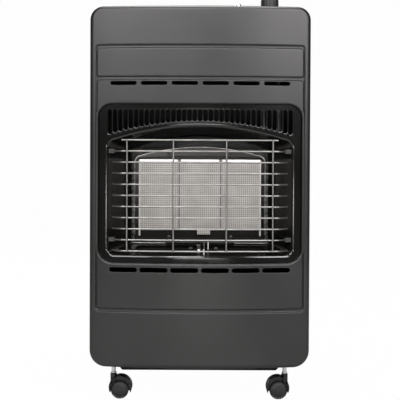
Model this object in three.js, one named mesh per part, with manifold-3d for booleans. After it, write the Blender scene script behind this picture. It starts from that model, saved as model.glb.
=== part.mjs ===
// Portable gas cabinet heater: a steel cabinet on four castors that holds a gas cylinder behind a
// radiant burner of three ceramic plaques. Millimetres, +X right, +Y to the back, +Z up; the origin
// is on the floor, under the middle of the cabinet.
import * as THREE from "three";
import { mergeVertices } from "three/addons/utils/BufferGeometryUtils.js";
import Module from "manifold-3d";

const wasm = await Module();
wasm.setup();

// ---- Driving dimensions: cabinet ----
const gap = 0.3; // between pieces that touch
const cabinetWidth = 410;
const cabinetDepth = 430;
const cabinetTop = 742;
const panelBottom = 72;
const frontY = -cabinetDepth / 2; // foremost line of the crowned front
const crownRise = 22; // bow of the front panel, middle to edge
const panelSheet = 1.2;
const bodySheet = 1;
const edgeRoll = 7; // rolled edge of the front panel
const panelFlange = 50; // depth of the front panel's flange
const panelLap = 14; // body inside that flange
const rearOverhang = 25; // rear cover and its hook behind the body
const topCornerRadius = 24;
const bottomCornerRadius = 30;
const flangeBack = frontY + panelFlange; // back edge of the front panel's flange
const bodyFront = flangeBack - panelLap;
const bodyBack = cabinetDepth / 2 - rearOverhang;
const skirtDepth = 18; // straight part of the top cover's and the tray's sides
const lapDepth = 12; // side panel's lap inside those skirts
const returnWidth = 12; // side panel's turned-in front and back edges

// ---- Front panel's openings and pressings ----
const channelDepth = 2.5;
const channelSlope = 1.2; // run of a channel's sloping wall
const channelDrop = 70.5;
const channelTop = cabinetTop - channelDrop;
const bottomBandHeight = 102.5; // plain band under the channels
const channelBottom = panelBottom + bottomBandHeight;
const topChannelWidth = 7.5;
const bottomChannelWidth = 9.5;
const sideChannelWidth = 4.1;
const channelHalfWidth = cabinetWidth / 2 - 9.7;
const channelCornerRadius = 8;
const upperPadHeight = 60;
const crossChannelTop = channelTop - upperPadHeight;
const crossChannelWidth = 6.5;
const windowHalfWidth = cabinetWidth / 2 - 15;
const plaqueHeight = 135;
const windowDrop = 181; // window's upper edge below the cabinet's top
const windowHeight = plaqueHeight + 160;
const windowTop = cabinetTop - windowDrop;
const windowBottom = windowTop - windowHeight;
const windowTopRadius = 27;
const windowBottomRadius = 29;
const windowRoll = 3; // rolled lip of the window
const windowLip = 6; // depth of that lip
const slotCount = 6;
const slotPitch = 56.7;
const upperSlotLength = 48;
const upperSlotHeight = 7;
const upperSlotZ = windowTop + 38;
const lowerSlotLength = 51.5;
const lowerSlotHeight = 8.8;
const lowerSlotZ = windowBottom - 12;

// ---- Surround, grille and reflector ----
const surroundSheet = 1.5;
const surroundHalfWidth = windowHalfWidth + 6;
const surroundBottom = windowBottom - 9;
const surroundTop = windowTop + 9;
const surroundRadius = 30;
const surroundFlange = 8; // turned-back edge of the surround
const grilleSlots = 35;
const grilleSlotWidth = 6.3;
const grilleTop = windowTop - 10;
const grilleBottomEnd = grilleTop - 46; // lowest point of the outermost slots
const grilleBottomMiddle = grilleBottomEnd + 24;
const plaqueWidth = 76;
const plaqueJoint = 2.6;
const backWallMargin = 14.4; // back wall beyond the row of plaques
const backWallHalfWidth = 1.5 * plaqueWidth + plaqueJoint + backWallMargin;
const reflectorFlare = 40; // how far each side wall slopes out towards the room
const recessHalfWidth = backWallHalfWidth + reflectorFlare; // the reflector's mouth
const grillePitch = (2 * recessHalfWidth - grilleSlotWidth) / (grilleSlots - 1);
const recessBottom = windowBottom + 15;
const recessTopEnd = windowTop - 66;
const recessTopMiddle = recessTopEnd + 24;
const recessTopRadius = 16;
const recessBottomRadius = 11;
const reflectorSheet = 0.8;
const mouthRoll = 3; // flare of the surround's mouth
const rimWidth = 9; // reflector's rim behind the surround
const backWallBottom = recessBottom + 16;
const backWallTopEnd = recessTopEnd - 15;
const backWallTopMiddle = backWallTopEnd + 22;
const backWallY = frontY + 87;

// ---- Wire guard ----
const guardWire = 3;
const guardWires = 11;
const guardTop = recessTopEnd - 0.8;
const guardBottom = recessBottom + 7.6;
const guardPitch = (guardTop - guardBottom) / (guardWires - 1);
const guardHalfWidth = recessHalfWidth - 8;
const guardFrontY = frontY + 6.5;
const guardBow = 8; // how far the wires run back towards their bends
const guardBend = guardHalfWidth - 17;
const guardTopHalfWidth = guardBend - 1;
const guardUprights = [11 - guardBend, -49, 49, guardBend - 11];
const guardEndY = frontY + 28.5;
const guardWireSides = 6;
const weldSink = 0.5; // how far crossing wires are welded into each other
const clipLength = 12;
const clipHeight = 8;
const clipThickness = 2;
const clipSeat = 0.5; // clip to the reflector's sloping side

// ---- Burner ----
const lipDepth = 2; // bright lip in front of a plaque's face
const lipHeight = 4;
const legWidth = 3.5;
const legDrop = 11;
const tabLeft = -5;
const tabRight = 20;
const tabHeight = 8;
const tabDepth = 5;
const plaqueBottom = backWallBottom + 25.5;
const plaqueFaceY = backWallY - 14;
const burnerPlateSheet = 1.2;
const borderDepth = 6; // raised border of the burner plate
const borderWidth = 2.5;
const burnerPlateHalfWidth = backWallHalfWidth - 5.5;
const burnerPlateBottom = backWallBottom + 3;
const burnerPlateTopEnd = backWallTopEnd - 16;
const burnerPlateTopMiddle = burnerPlateTopEnd + 18;
const burnerPlateRadius = 13;
const housingDepth = 22;
const venturiRadius = 9;
const venturiMouthZ = backWallBottom - 29;
const housingLap = 3; // housing beyond the hole in the reflector's back wall
const manifoldZ = venturiMouthZ - 22;
const manifoldRadius = 5;
const manifoldBoss = 12; // square block under each injector
const manifoldFoot = 16;
const manifoldFootSheet = 2;
const manifoldFootHeight = 24;
const injectorLength = 12;
const manifoldOverhang = 14;
const burnerPipeX = 152;
const burnerPipeRadius = 4;
const burnerPipeOffset = 5;
const burnerPipeDrop = 20; // level run below the valve
const pipeBend = 14; // length of a pipe's elbow on each side of its corner
const pipeSteps = 14;
const pilotPipeRadius = 2;
const pilotPipeY = backWallY + 24;
const pilotPipeOffset = -8;
const pilotPipeDrop = 16; // below the manifold

// ---- Pilot ----
const pilotX = 7;
const pilotBurnerX = pilotX - 9;
const thermocoupleX = pilotX + 1;
const electrodeX = pilotX + 9;
const pilotStemDrop = 14; // pilot burner's stem below its bracket
const pilotY = backWallY - 32;
const pilotHoleHalfWidth = 20;
const pilotHoleDepth = 20;
const pilotStemRadius = 3;
const bracketHalfWidth = 27;
const bracketDrop = 3;
const earWidth = 6;

// ---- Controls ----
const valveX = 132;
const valveY = backWallY;
const knobRadius = 17;
const knobHeight = 21;
const knobChamfer = 4;
const knobFlutes = 12;
const knobTravel = 5;
const knobClearance = 0.7; // under the knob when it is pushed
const spindleRadius = 4;
const spindleHoleRadius = 7;
const valveBodyTop = cabinetTop - 30;
const valveBodyHeight = 34;
const valveBodyWidth = 26;
const neckRadius = 9.5;
const neckSink = 4; // wide bore below the valve body's top
const collarRadius = 7;
const collarHeight = 6;
const collarZ = valveBodyTop + 2;
const spindleFoot = valveBodyTop - 7;
const spindleReach = 12; // spindle inside the knob
const nozzleZ = valveBodyTop - 20;
const nozzleShank = 4.5;
const nozzleLength = 38;
const igniterX = 71;
const igniterY = backWallY - 22;
const igniterRadius = 8;
const igniterButtonRadius = 5.5;
const igniterStand = 3.5; // barrel above the top cover
const igniterBodyLength = 55;
const buttonProud = 12.5;
const buttonDome = 3;

// ---- Castors ----
const castorX = cabinetWidth / 2 - 41;
const castorFrontY = bodyFront + 46;
const castorRearY = bodyBack - 35;
const wheelRadius = 17;
const wheelWidth = 9;
const wheelGap = 7; // between the two wheels of a castor
const hoodRadius = 22;
const hoodSheet = 1.7;
const castorTrail = 12.5;
const hoodShift = 1; // hood's middle beyond the axle
const hoodLift = 5; // and above it
const hoodDrop = 25; // degrees that the hood comes down past its middle
const hoodOverhang = 0.8; // hood beyond the wheels' faces
const stemDepth = 7; // stem inside its housing
const wheelFaceWall = 2.7;
const wheelDish = 0.8; // how far a wheel's face lies inside its rim
const socketHeight = 26;
const stemRadius = 4;
const stemHousingRadius = 6.2;
const stemHousingTop = 48;
const axleRadius = 2.5;
const castorSides = 18;

// ---- Cylinder bay and rear cover ----
const wellHalfWidth = cabinetWidth / 2 - 56; // sunk floor that the gas cylinder stands on
const wellDepth = 10;
const railDrop = 13.5; // stiffening rail under the tray, behind the front panel's flange
const railFold = 12;
const railBevel = 4;
const shieldY = backWallY + 32;
const wellFront = shieldY + 12;
const wellBack = bodyBack - 12;
const wellBevel = 6;
const shieldClearance = 8;
const shieldFlange = 12;
const coverBack = cabinetDepth / 2 - 10;
const coverRadius = 14;
const coverSheet = 1;
const coverHalfWidth = cabinetWidth / 2 - 9;
const coverBottom = panelBottom + 12;
const coverTop = cabinetTop - 18;
const rearFlangeHeight = 9; // turned-down back edge of the top cover
const ventRows = [26, 40]; // from the cover's top and bottom edges
const ventColumns = 4;
const ventPitch = 82;
const ventLength = 64;
const ventHeight = 6;
const hookHalfWidth = coverHalfWidth - 16; // tray's rear hook, in which the cover's bead turns
const hookLipHeight = 8.5;
const beadHalfWidth = hookHalfWidth - 4;
const beadRadius = 4.2;

const halfWidth = cabinetWidth / 2;
const rearY = cabinetDepth / 2;
const crownRadius = (halfWidth ** 2 + crownRise ** 2) / (2 * crownRise);
const bodyInset = panelSheet + gap;
const bodyHalfWidth = halfWidth - bodyInset;
const bodyTop = cabinetTop - bodyInset;
const bodyBottom = panelBottom + bodyInset;
const skirtBottom = bodyTop - (topCornerRadius - bodyInset) - skirtDepth;
const trayTop = bodyBottom + (bottomCornerRadius - bodyInset) + skirtDepth;
const knobBottom = bodyTop + knobTravel + knobClearance;
const hingeY = rearY - bodySheet - gap - beadRadius;
const hingeZ = bodyBottom + bodySheet + gap + beadRadius;

// ---- Finishes ----
const finish = (color, roughness, metalness) => ({ color, roughness, metalness });
const charcoalPaint = finish(0x58575a, 0.5, 0.1);
const blackEnamel = finish(0x0b0b0a, 0.18, 0.1);
const blackSteel = finish(0x1c1c1b, 0.5, 0.4);
const galvanised = finish(0x9a9b9c, 0.45, 0.8);
const brightWire = finish(0xb4b2ae, 0.28, 0.9);
const ceramic = finish(0xb2ada4, 0.85, 0);
const blackPlastic = finish(0x212120, 0.5, 0);
const greyPlastic = finish(0x4a494b, 0.45, 0);
const brass = finish(0xb08d4a, 0.35, 0.9);
const chrome = finish(0xc8c8c6, 0.15, 1);
const aluminium = finish(0xa9abad, 0.4, 0.9);

// ---- Solids ----
/** A closed geometry as a solid for cutting and joining. */
function solid(geometry) {
  const bare = geometry.clone();
  for (const name of Object.keys(bare.attributes)) {
    if (name !== "position") bare.deleteAttribute(name);
  }
  const merged = mergeVertices(bare, 1e-4);
  return new wasm.Manifold(
    new wasm.Mesh({
      numProp: 3,
      vertProperties: merged.attributes.position.array,
      triVerts: new Uint32Array(merged.index.array),
    }),
  );
}

/** A finished piece: one named mesh. */
function piece(name, body, look) {
  const { vertProperties, triVerts } = body.getMesh();
  const geometry = new THREE.BufferGeometry();
  geometry.setAttribute("position", new THREE.Float32BufferAttribute(vertProperties, 3));
  geometry.setIndex(new THREE.Uint32BufferAttribute(triVerts, 1));
  geometry.computeVertexNormals();
  const made = new THREE.Mesh(geometry, new THREE.MeshStandardMaterial(look));
  made.name = name;
  return made;
}

const join = (bodies) => bodies.reduce((all, body) => all.add(body));

function box(x0, x1, y0, y1, z0, z1) {
  const geometry = new THREE.BoxGeometry(x1 - x0, y1 - y0, z1 - z0);
  return solid(geometry.translate((x0 + x1) / 2, (y0 + y1) / 2, (z0 + z1) / 2));
}

const extruded = (shape, depth, curveSegments) =>
  new THREE.ExtrudeGeometry(shape, { depth, bevelEnabled: false, curveSegments });

/** An outline in X and Z, extruded from y0 to y1. */
function prismY(shape, y0, y1, curveSegments = 3) {
  return solid(extruded(shape, y1 - y0, curveSegments).rotateX(Math.PI / 2).translate(0, y1, 0));
}

/** An outline in X and Y, extruded from z0 to z1. */
function prismZ(shape, z0, z1) {
  return solid(extruded(shape, z1 - z0).translate(0, 0, z0));
}

/** An outline in Y and Z, extruded from x0 to x1. */
function prismX(shape, x0, x1) {
  const turn = new THREE.Matrix4().makeBasis(
    new THREE.Vector3(0, 1, 0),
    new THREE.Vector3(0, 0, 1),
    new THREE.Vector3(1, 0, 0),
  );
  return solid(extruded(shape, x1 - x0).applyMatrix4(turn).translate(x0, 0, 0));
}

/** A round bar between two points. */
function rod(from, to, radius, sides = 12) {
  const start = new THREE.Vector3(...from);
  const along = new THREE.Vector3(...to).sub(start);
  const geometry = new THREE.CylinderGeometry(radius, radius, along.length(), sides);
  const turn = new THREE.Quaternion();
  turn.setFromUnitVectors(new THREE.Vector3(0, 1, 0), along.clone().normalize());
  geometry.applyQuaternion(turn);
  const middle = start.addScaledVector(along, 0.5);
  return solid(geometry.translate(middle.x, middle.y, middle.z));
}

/** An upright round bar. */
const upright = (x, y, low, high, radius, sides) => rod([x, y, low], [x, y, high], radius, sides);

/** A profile of [radius, height] points turned about a vertical axis through (x, y). */
function turned(profile, x, y, segments = 24) {
  const points = profile.map(([radius, height]) => new THREE.Vector2(radius, height));
  const geometry = new THREE.LatheGeometry(points, segments).rotateX(Math.PI / 2);
  const body = solid(geometry.translate(x, y, 0));
  return body.volume() < 0 ? solid(flipped(geometry)) : body;
}

/** The same geometry with its faces turned round. */
function flipped(geometry) {
  const index = geometry.index.array;
  for (let i = 0; i < index.length; i += 3) {
    [index[i + 1], index[i + 2]] = [index[i + 2], index[i + 1]];
  }
  return geometry;
}

/** A round section run along a curve. */
function tube(curve, radius, steps) {
  const section = new THREE.Shape().absarc(0, 0, radius, 0, 2 * Math.PI);
  const geometry = new THREE.ExtrudeGeometry(section, {
    steps,
    curveSegments: 4,
    bevelEnabled: false,
    extrudePath: curve,
  });
  return solid(geometry);
}

const polygon = (points) => new THREE.Shape(points.map(([u, v]) => new THREE.Vector2(u, v)));

/** A slot with round ends, centred on (u, v). */
function stadium(u, v, length, height, upright = false) {
  const radius = height / 2;
  const reach = length / 2 - radius;
  const shape = new THREE.Shape();
  if (upright) {
    shape.absarc(u, v - reach, radius, Math.PI, 2 * Math.PI);
    shape.absarc(u, v + reach, radius, 0, Math.PI);
  } else {
    shape.absarc(u + reach, v, radius, -Math.PI / 2, Math.PI / 2);
    shape.absarc(u - reach, v, radius, Math.PI / 2, 1.5 * Math.PI);
  }
  return shape;
}

// ---- Lofts of rounded outlines that follow the crowned front ----
const cornerSteps = 4;
const slotEndSteps = 2;
const channelCornerSteps = 2;
const crownStep = 51; // width of one facet of the crown
const rollSteps = 2;

/** How far the crown has fallen back at x. */
const crown = (x) => crownRadius - Math.sqrt(crownRadius ** 2 - x ** 2);
/** A surface that lies behind the panel's face by one depth everywhere. */
const behindFace = (depth) => (x) => frontY + crown(x) + depth;
const flatAt = (y) => () => y;

/** The places along X where every crowned outline has a point. */
function crownStations(reach) {
  const count = Math.floor((reach - 1) / crownStep);
  const stations = [];
  for (let i = -count; i <= count; i++) stations.push(i * crownStep);
  return stations;
}

/**
 * An outline as points [x, z], anticlockwise from the front. It has straight sides and round
 * corners; its top edge may be an arch, which rises from topEnd at the sides to high in the middle.
 */
function outlinePoints(ring, stations) {
  const { halfWidth: half, low, high, lowRadius, highRadius } = ring;
  const rise = ring.rise ?? 0;
  const reach = half - highRadius;
  const topAt = (x) => high - rise * (x / reach) ** 2;
  const points = [];
  const steps = ring.steps ?? cornerSteps;
  const corner = (side, base, radius, start) => {
    for (let i = 0; i <= steps; i++) {
      const angle = start + ((i / steps) * Math.PI) / 2;
      points.push([side + radius * Math.cos(angle), base + radius * Math.sin(angle)]);
    }
  };
  corner(reach, high - rise - highRadius, highRadius, 0);
  for (const x of [...stations].reverse()) points.push([x, topAt(x)]);
  corner(-reach, high - rise - highRadius, highRadius, Math.PI / 2);
  corner(-(half - lowRadius), low + lowRadius, lowRadius, Math.PI);
  for (const x of stations) points.push([x, low]);
  corner(half - lowRadius, low + lowRadius, lowRadius, 1.5 * Math.PI);
  return points;
}

/** A solid through rings from front to back, each an outline laid on its own surface y(x). */
function ringLoft(rings) {
  const reach = Math.min(
    ...rings.map((ring) => ring.halfWidth - Math.max(ring.lowRadius, ring.highRadius)),
  );
  const stations = crownStations(reach);
  const outlines = rings.map((ring) => outlinePoints(ring, stations));
  const count = outlines[0].length;
  const positions = [];
  outlines.forEach((outline, k) => {
    for (const [x, z] of outline) positions.push(x, rings[k].y(x), z);
  });
  const index = [];
  for (let k = 0; k + 1 < rings.length; k++) {
    for (let i = 0; i < count; i++) {
      const next = (i + 1) % count;
      const [a, b] = [k * count + i, k * count + next];
      index.push(a, a + count, b + count, a, b + count, b);
    }
  }
  cap(outlines[0], 0, index, false);
  cap(outlines.at(-1), (rings.length - 1) * count, index, true);
  const geometry = new THREE.BufferGeometry();
  geometry.setAttribute("position", new THREE.Float32BufferAttribute(positions, 3));
  geometry.setIndex(index);
  return solid(geometry);
}

/** Closes an outline with strips that run from its lower edge to its upper edge. */
function cap(outline, first, index, fromBehind) {
  const upperCount = outline.length / 2;
  const upper = [...Array(upperCount).keys()].reverse();
  const lower = [...Array(upperCount).keys()].map((i) => i + upperCount);
  let [i, j] = [0, 0];
  while (i < upperCount - 1 || j < upperCount - 1) {
    const nextUpper = i < upperCount - 1 ? outline[upper[i + 1]][0] : Infinity;
    const nextLower = j < upperCount - 1 ? outline[lower[j + 1]][0] : Infinity;
    const corners =
      nextLower <= nextUpper
        ? [lower[j], lower[++j], upper[i]]
        : [lower[j], upper[i + 1], upper[i++]];
    if (fromBehind) corners.reverse();
    index.push(...corners.map((corner) => corner + first));
  }
}

/** A ring, its outline drawn in by an inset on all sides. */
function inset(ring, by, y) {
  return {
    ...ring,
    halfWidth: ring.halfWidth - by,
    low: ring.low + by,
    high: ring.high - by,
    lowRadius: Math.max(ring.lowRadius - by, 0.4),
    highRadius: Math.max(ring.highRadius - by, 0.4),
    y,
  };
}

/**
 * Rings round a rolled edge, from the flat face round the roll. side is 1 at an outer edge and -1
 * at a hole's, and sheet moves the rings from the face to the sheet's inner side.
 */
function rolledRings(outline, roll, sheet, side) {
  const radius = roll - sheet;
  const rings = [];
  for (let i = 0; i <= rollSteps; i++) {
    const angle = ((i / rollSteps) * Math.PI) / 2;
    const inward = side * (sheet + radius * (1 - Math.sin(angle)));
    const depth = sheet + radius * (1 - Math.cos(angle));
    rings.push(inset(outline, inward, behindFace(depth)));
  }
  return rings;
}

// ---- Cabinet ----
const panelOutline = {
  halfWidth,
  low: panelBottom,
  high: cabinetTop,
  lowRadius: bottomCornerRadius,
  highRadius: topCornerRadius,
};
const windowOutline = {
  halfWidth: windowHalfWidth,
  low: windowBottom,
  high: windowTop,
  lowRadius: windowBottomRadius,
  highRadius: windowTopRadius,
};

/** The panel's mass, or with a sheet the space inside it, back to its flange's edge. */
function panelMass(sheet) {
  const rings = rolledRings(panelOutline, edgeRoll, sheet, 1);
  rings.push(inset(panelOutline, sheet, flatAt(flangeBack + sheet)));
  return ringLoft(rings);
}

/** A plug from just in front of the face to a depth behind it, narrower there by the slope. */
function taperedPlug(outline, depth, slope) {
  const above = 1;
  return ringLoft([
    inset(outline, (-slope * above) / depth, behindFace(-above)),
    inset(outline, slope, behindFace(depth)),
  ]);
}

/** The pressed channels: a frame round two raised pads. A sheet's thickness grows them inwards. */
function channels(sheet) {
  const frame = {
    halfWidth: channelHalfWidth + sheet,
    low: channelBottom - sheet,
    high: channelTop + sheet,
    lowRadius: channelCornerRadius,
    highRadius: channelCornerRadius,
    steps: channelCornerSteps,
  };
  const pad = (low, high) => ({
    halfWidth: channelHalfWidth - sideChannelWidth - sheet,
    low: low + sheet,
    high: high - sheet,
    lowRadius: channelCornerRadius / 2,
    highRadius: channelCornerRadius / 2,
    steps: channelCornerSteps,
  });
  const pads = [
    pad(channelBottom + bottomChannelWidth, crossChannelTop - crossChannelWidth),
    pad(crossChannelTop, channelTop - topChannelWidth),
  ];
  const depth = channelDepth + sheet;
  return pads.reduce(
    (cut, outline) => cut.subtract(taperedPlug(outline, depth + 1, -channelSlope)),
    taperedPlug(frame, depth, channelSlope),
  );
}

/** The window's hole with its rolled lip; grown by the sheet it leaves that lip standing. */
function windowPlug(sheet, back) {
  const rings = rolledRings(windowOutline, windowRoll, sheet, -1);
  rings.unshift(inset(windowOutline, -windowRoll, behindFace(sheet - 1)));
  rings.push(inset(windowOutline, -sheet, behindFace(back)));
  return ringLoft(rings);
}

/** A row of air slots, as cutters through the front panel. */
function airSlots(length, height, z) {
  const cutters = [];
  for (let i = 0; i < slotCount; i++) {
    const x = (i - (slotCount - 1) / 2) * slotPitch;
    cutters.push(prismY(stadium(x, z, length, height), frontY - 1, bodyFront, slotEndSteps));
  }
  return cutters;
}

function frontPanel() {
  const hollow = panelMass(panelSheet)
    .subtract(channels(panelSheet))
    .subtract(windowPlug(panelSheet, windowLip));
  let body = panelMass(0).subtract(channels(0)).subtract(hollow);
  body = body.subtract(windowPlug(0, windowLip + 1));
  const slots = [
    ...airSlots(upperSlotLength, upperSlotHeight, upperSlotZ),
    ...airSlots(lowerSlotLength, lowerSlotHeight, lowerSlotZ),
  ];
  return piece("front_panel", body.subtract(join(slots)), charcoalPaint);
}

/** A bent sheet's section from its right half: outer and inner points, mirrored to the left. */
function mirroredStrip(outer, inner) {
  const mirror = (points) => points.map(([x, z]) => [-x, z]).reverse();
  return polygon([...outer, ...mirror(outer), ...mirror(inner).reverse(), ...[...inner].reverse()]);
}

/** Points of an arc from one angle to another, in degrees. */
function arc(x, z, radius, from, to, steps = cornerSteps) {
  const points = [];
  for (let i = 0; i <= steps; i++) {
    const angle = THREE.MathUtils.degToRad(from + ((to - from) * i) / steps);
    points.push([x + radius * Math.cos(angle), z + radius * Math.sin(angle)]);
  }
  return points;
}

/** The top cover: a flat top whose round shoulders run down into short skirts. */
function topCover() {
  const radius = topCornerRadius - bodyInset;
  const middleX = bodyHalfWidth - radius;
  const middleZ = bodyTop - radius;
  const outer = [[bodyHalfWidth, skirtBottom], ...arc(middleX, middleZ, radius, 0, 90)];
  const inner = [
    [bodyHalfWidth - bodySheet, skirtBottom],
    ...arc(middleX, middleZ, radius - bodySheet, 0, 90),
  ];
  const sheet = prismY(mirroredStrip(outer, inner), bodyFront, bodyBack);
  const rearFlange = box(
    -middleX, middleX, bodyBack - bodySheet, bodyBack, bodyTop - rearFlangeHeight, bodyTop - bodySheet / 2,
  );
  const holes = [
    rod([valveX, valveY, bodyTop - 5], [valveX, valveY, bodyTop + 5], spindleHoleRadius, 20),
    rod([igniterX, igniterY, bodyTop - 5], [igniterX, igniterY, bodyTop + 5], igniterRadius + gap, 16),
  ];
  return piece("top_cover", sheet.add(rearFlange).subtract(join(holes)), charcoalPaint);
}

/** A side panel: a flat sheet with laps inside both skirts and return flanges front and back. */
function sidePanel(side) {
  const [outer, inner] = [bodyHalfWidth, bodyHalfWidth - bodySheet];
  const [low, high] = [trayTop + gap, skirtBottom - gap];
  const lapOuter = inner - gap;
  const lapInner = lapOuter - bodySheet;
  const jog = bodySheet + gap;
  const profile = polygon([
    [lapOuter, low - lapDepth],
    [lapOuter, low],
    [outer, low],
    [outer, high],
    [lapOuter, high],
    [lapOuter, high + lapDepth],
    [lapInner, high + lapDepth],
    [lapInner, high - jog],
    [inner, high - 2 * jog],
    [inner, low + 2 * jog],
    [lapInner, low + jog],
    [lapInner, low - lapDepth],
  ]);
  const sheet = prismY(profile, bodyFront, bodyBack);
  const returnFlange = (y) =>
    box(outer - returnWidth, outer - bodySheet / 2, y, y + bodySheet, low + 3 * jog, high - 3 * jog);
  const body = join([sheet, returnFlange(bodyFront), returnFlange(bodyBack - bodySheet)]);
  const name = side < 0 ? "side_panel_left" : "side_panel_right";
  return piece(name, side < 0 ? body.mirror([1, 0, 0]) : body, charcoalPaint);
}

/** The places of the four castors, with the direction in which each one trails. */
const castors = [
  { name: "front_left", x: -castorX, y: castorFrontY, heading: 0 },
  { name: "front_right", x: castorX, y: castorFrontY, heading: 180 },
  { name: "rear_left", x: -castorX, y: castorRearY, heading: 90 },
  { name: "rear_right", x: castorX, y: castorRearY, heading: 90 },
];

/** The sunk part of the tray's floor, narrower at its bottom by its sloping walls. */
function well(sheet) {
  const level = bodyBottom + bodySheet / 2;
  const floor = bodyBottom - wellDepth + sheet;
  const top = [
    [wellHalfWidth - sheet, wellFront + sheet],
    [wellHalfWidth - sheet, wellBack - sheet],
  ];
  const rectangle = (grow, z) => [
    [-top[0][0] - grow, top[0][1] - grow, z],
    [top[0][0] + grow, top[0][1] - grow, z],
    [top[1][0] + grow, top[1][1] + grow, z],
    [-top[1][0] - grow, top[1][1] + grow, z],
  ];
  const slope = wellBevel / wellDepth;
  const rise = sheet ? 2 * bodySheet : 0;
  const corners = [...rectangle(-wellBevel, floor), ...rectangle(slope * rise, level + rise)];
  const geometry = new THREE.BufferGeometry();
  geometry.setAttribute("position", new THREE.Float32BufferAttribute(corners.flat(), 3));
  const index = [0, 2, 1, 0, 3, 2, 4, 5, 6, 4, 6, 7];
  for (let i = 0; i < 4; i++) {
    const next = (i + 1) % 4;
    index.push(i, next, next + 4, i, next + 4, i + 4);
  }
  geometry.setIndex(index);
  return solid(geometry);
}

/** The stiffening rail under the tray: a flange with bevelled ends, folded back at its foot. */
function frontRail() {
  const [front, low, high] = [flangeBack + gap, bodyBottom - railDrop, bodyBottom + bodySheet / 2];
  const foot = wellHalfWidth - railBevel;
  const flange = polygon([
    [-foot, low],
    [foot, low],
    [wellHalfWidth, low + railBevel],
    [wellHalfWidth, high],
    [-wellHalfWidth, high],
    [-wellHalfWidth, low + railBevel],
  ]);
  const fold = box(-foot, foot, front, front + railFold, low, low + bodySheet);
  return prismY(flange, front, front + bodySheet).add(fold);
}

/** The base tray: round lower corners, a sunk floor, castor sockets, a rail and a rear hook. */
function baseTray() {
  const radius = bottomCornerRadius - bodyInset;
  const [middleX, middleZ] = [bodyHalfWidth - radius, bodyBottom + radius];
  const inner = bodyHalfWidth - bodySheet;
  const outside = [...arc(middleX, middleZ, radius, -90, 0), [bodyHalfWidth, trayTop]].reverse();
  const inside = [...arc(middleX, middleZ, radius - bodySheet, -90, 0), [inner, trayTop]].reverse();
  const sheet = prismY(mirroredStrip(outside, inside), bodyFront, bodyBack);
  const hookFloor = box(
    -hookHalfWidth, hookHalfWidth, bodyBack - 2 * bodySheet, rearY, bodyBottom, bodyBottom + bodySheet,
  );
  const hookLip = box(
    -hookHalfWidth, hookHalfWidth, rearY - bodySheet, rearY, bodyBottom, bodyBottom + hookLipHeight,
  );
  let body = join([sheet, frontRail(), hookFloor, hookLip, well(0)]).subtract(well(bodySheet));
  for (const { x, y } of castors) {
    const socketTop = bodyBottom + socketHeight;
    body = body.add(rod([x, y, bodyBottom], [x, y, socketTop], stemRadius + gap + 2, 16));
    body = body.subtract(rod([x, y, bodyBottom - 1], [x, y, socketTop + 1], stemRadius + gap, 16));
  }
  return piece("base_tray", body, charcoalPaint);
}

/** The rear cover: a shallow pan with vents, hung by a bead in the tray's hook. */
function rearCover() {
  const shell = (sheet, back) => {
    const [low, high] = [coverBottom + sheet, coverTop - sheet];
    const outline = roundedRectangle(coverHalfWidth - sheet, low, high, coverRadius);
    return prismY(outline, bodyBack + gap - (sheet ? 1 : 0), back);
  };
  const pan = shell(0, coverBack).subtract(shell(coverSheet, coverBack - coverSheet));
  const bead = rod([-beadHalfWidth, hingeY, hingeZ], [beadHalfWidth, hingeY, hingeZ], beadRadius, 16);
  const skin = box(
    -beadHalfWidth, beadHalfWidth, coverBack - coverSheet, coverBack, hingeZ - 1, coverBottom + coverRadius,
  );
  const web = box(-beadHalfWidth, beadHalfWidth, coverBack - coverSheet, hingeY, hingeZ - 1, hingeZ + 1);
  const vents = [];
  for (const z of [...ventRows.map((row) => coverBottom + row), ...ventRows.map((row) => coverTop - row)]) {
    for (let i = 0; i < ventColumns; i++) {
      const x = (i - (ventColumns - 1) / 2) * ventPitch;
      vents.push(prismY(stadium(x, z, ventLength, ventHeight), coverBack - 3, coverBack + 3, slotEndSteps));
    }
  }
  return piece("rear_cover", join([pan, bead, skin, web]).subtract(join(vents)), charcoalPaint);
}

/** A rectangle with round corners, in X and Z. */
function roundedRectangle(half, low, high, radius) {
  const shape = new THREE.Shape();
  shape.absarc(half - radius, high - radius, radius, 0, Math.PI / 2);
  shape.absarc(-(half - radius), high - radius, radius, Math.PI / 2, Math.PI);
  shape.absarc(-(half - radius), low + radius, radius, Math.PI, 1.5 * Math.PI);
  shape.absarc(half - radius, low + radius, radius, 1.5 * Math.PI, 2 * Math.PI);
  return shape;
}

/** The shield between burner and cylinder, flanged to the side panels. */
function heatShield() {
  const half = bodyHalfWidth - bodySheet - gap;
  const [low, high] = [trayTop + shieldClearance, valveBodyTop - valveBodyHeight - gap - 6];
  const sheet = box(-half, half, shieldY, shieldY + bodySheet, low, high);
  const flange = (side) => {
    const [left, right] = [side * half, side * (half - bodySheet)].sort((a, b) => a - b);
    return box(left, right, shieldY, shieldY + shieldFlange, low, high);
  };
  return piece("heat_shield", join([sheet, flange(-1), flange(1)]), galvanised);
}

// ---- Radiant window ----
const surroundFace = windowLip + gap;
const surroundOutline = {
  halfWidth: surroundHalfWidth,
  low: surroundBottom,
  high: surroundTop,
  lowRadius: surroundRadius,
  highRadius: surroundRadius,
};
const mouthOutline = {
  halfWidth: recessHalfWidth,
  low: recessBottom,
  high: recessTopMiddle,
  rise: recessTopMiddle - recessTopEnd,
  lowRadius: recessBottomRadius,
  highRadius: recessTopRadius,
};
const backWallOutline = {
  halfWidth: backWallHalfWidth,
  low: backWallBottom,
  high: backWallTopMiddle,
  rise: backWallTopMiddle - backWallTopEnd,
  lowRadius: recessBottomRadius / 2,
  highRadius: recessTopRadius / 2,
};

/** The lowest point of a grille slot: the slots' feet follow the window's arch. */
function grilleFoot(x) {
  const end = ((grilleSlots - 1) / 2) * grillePitch;
  return grilleBottomMiddle - (grilleBottomMiddle - grilleBottomEnd) * (x / end) ** 2;
}

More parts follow.
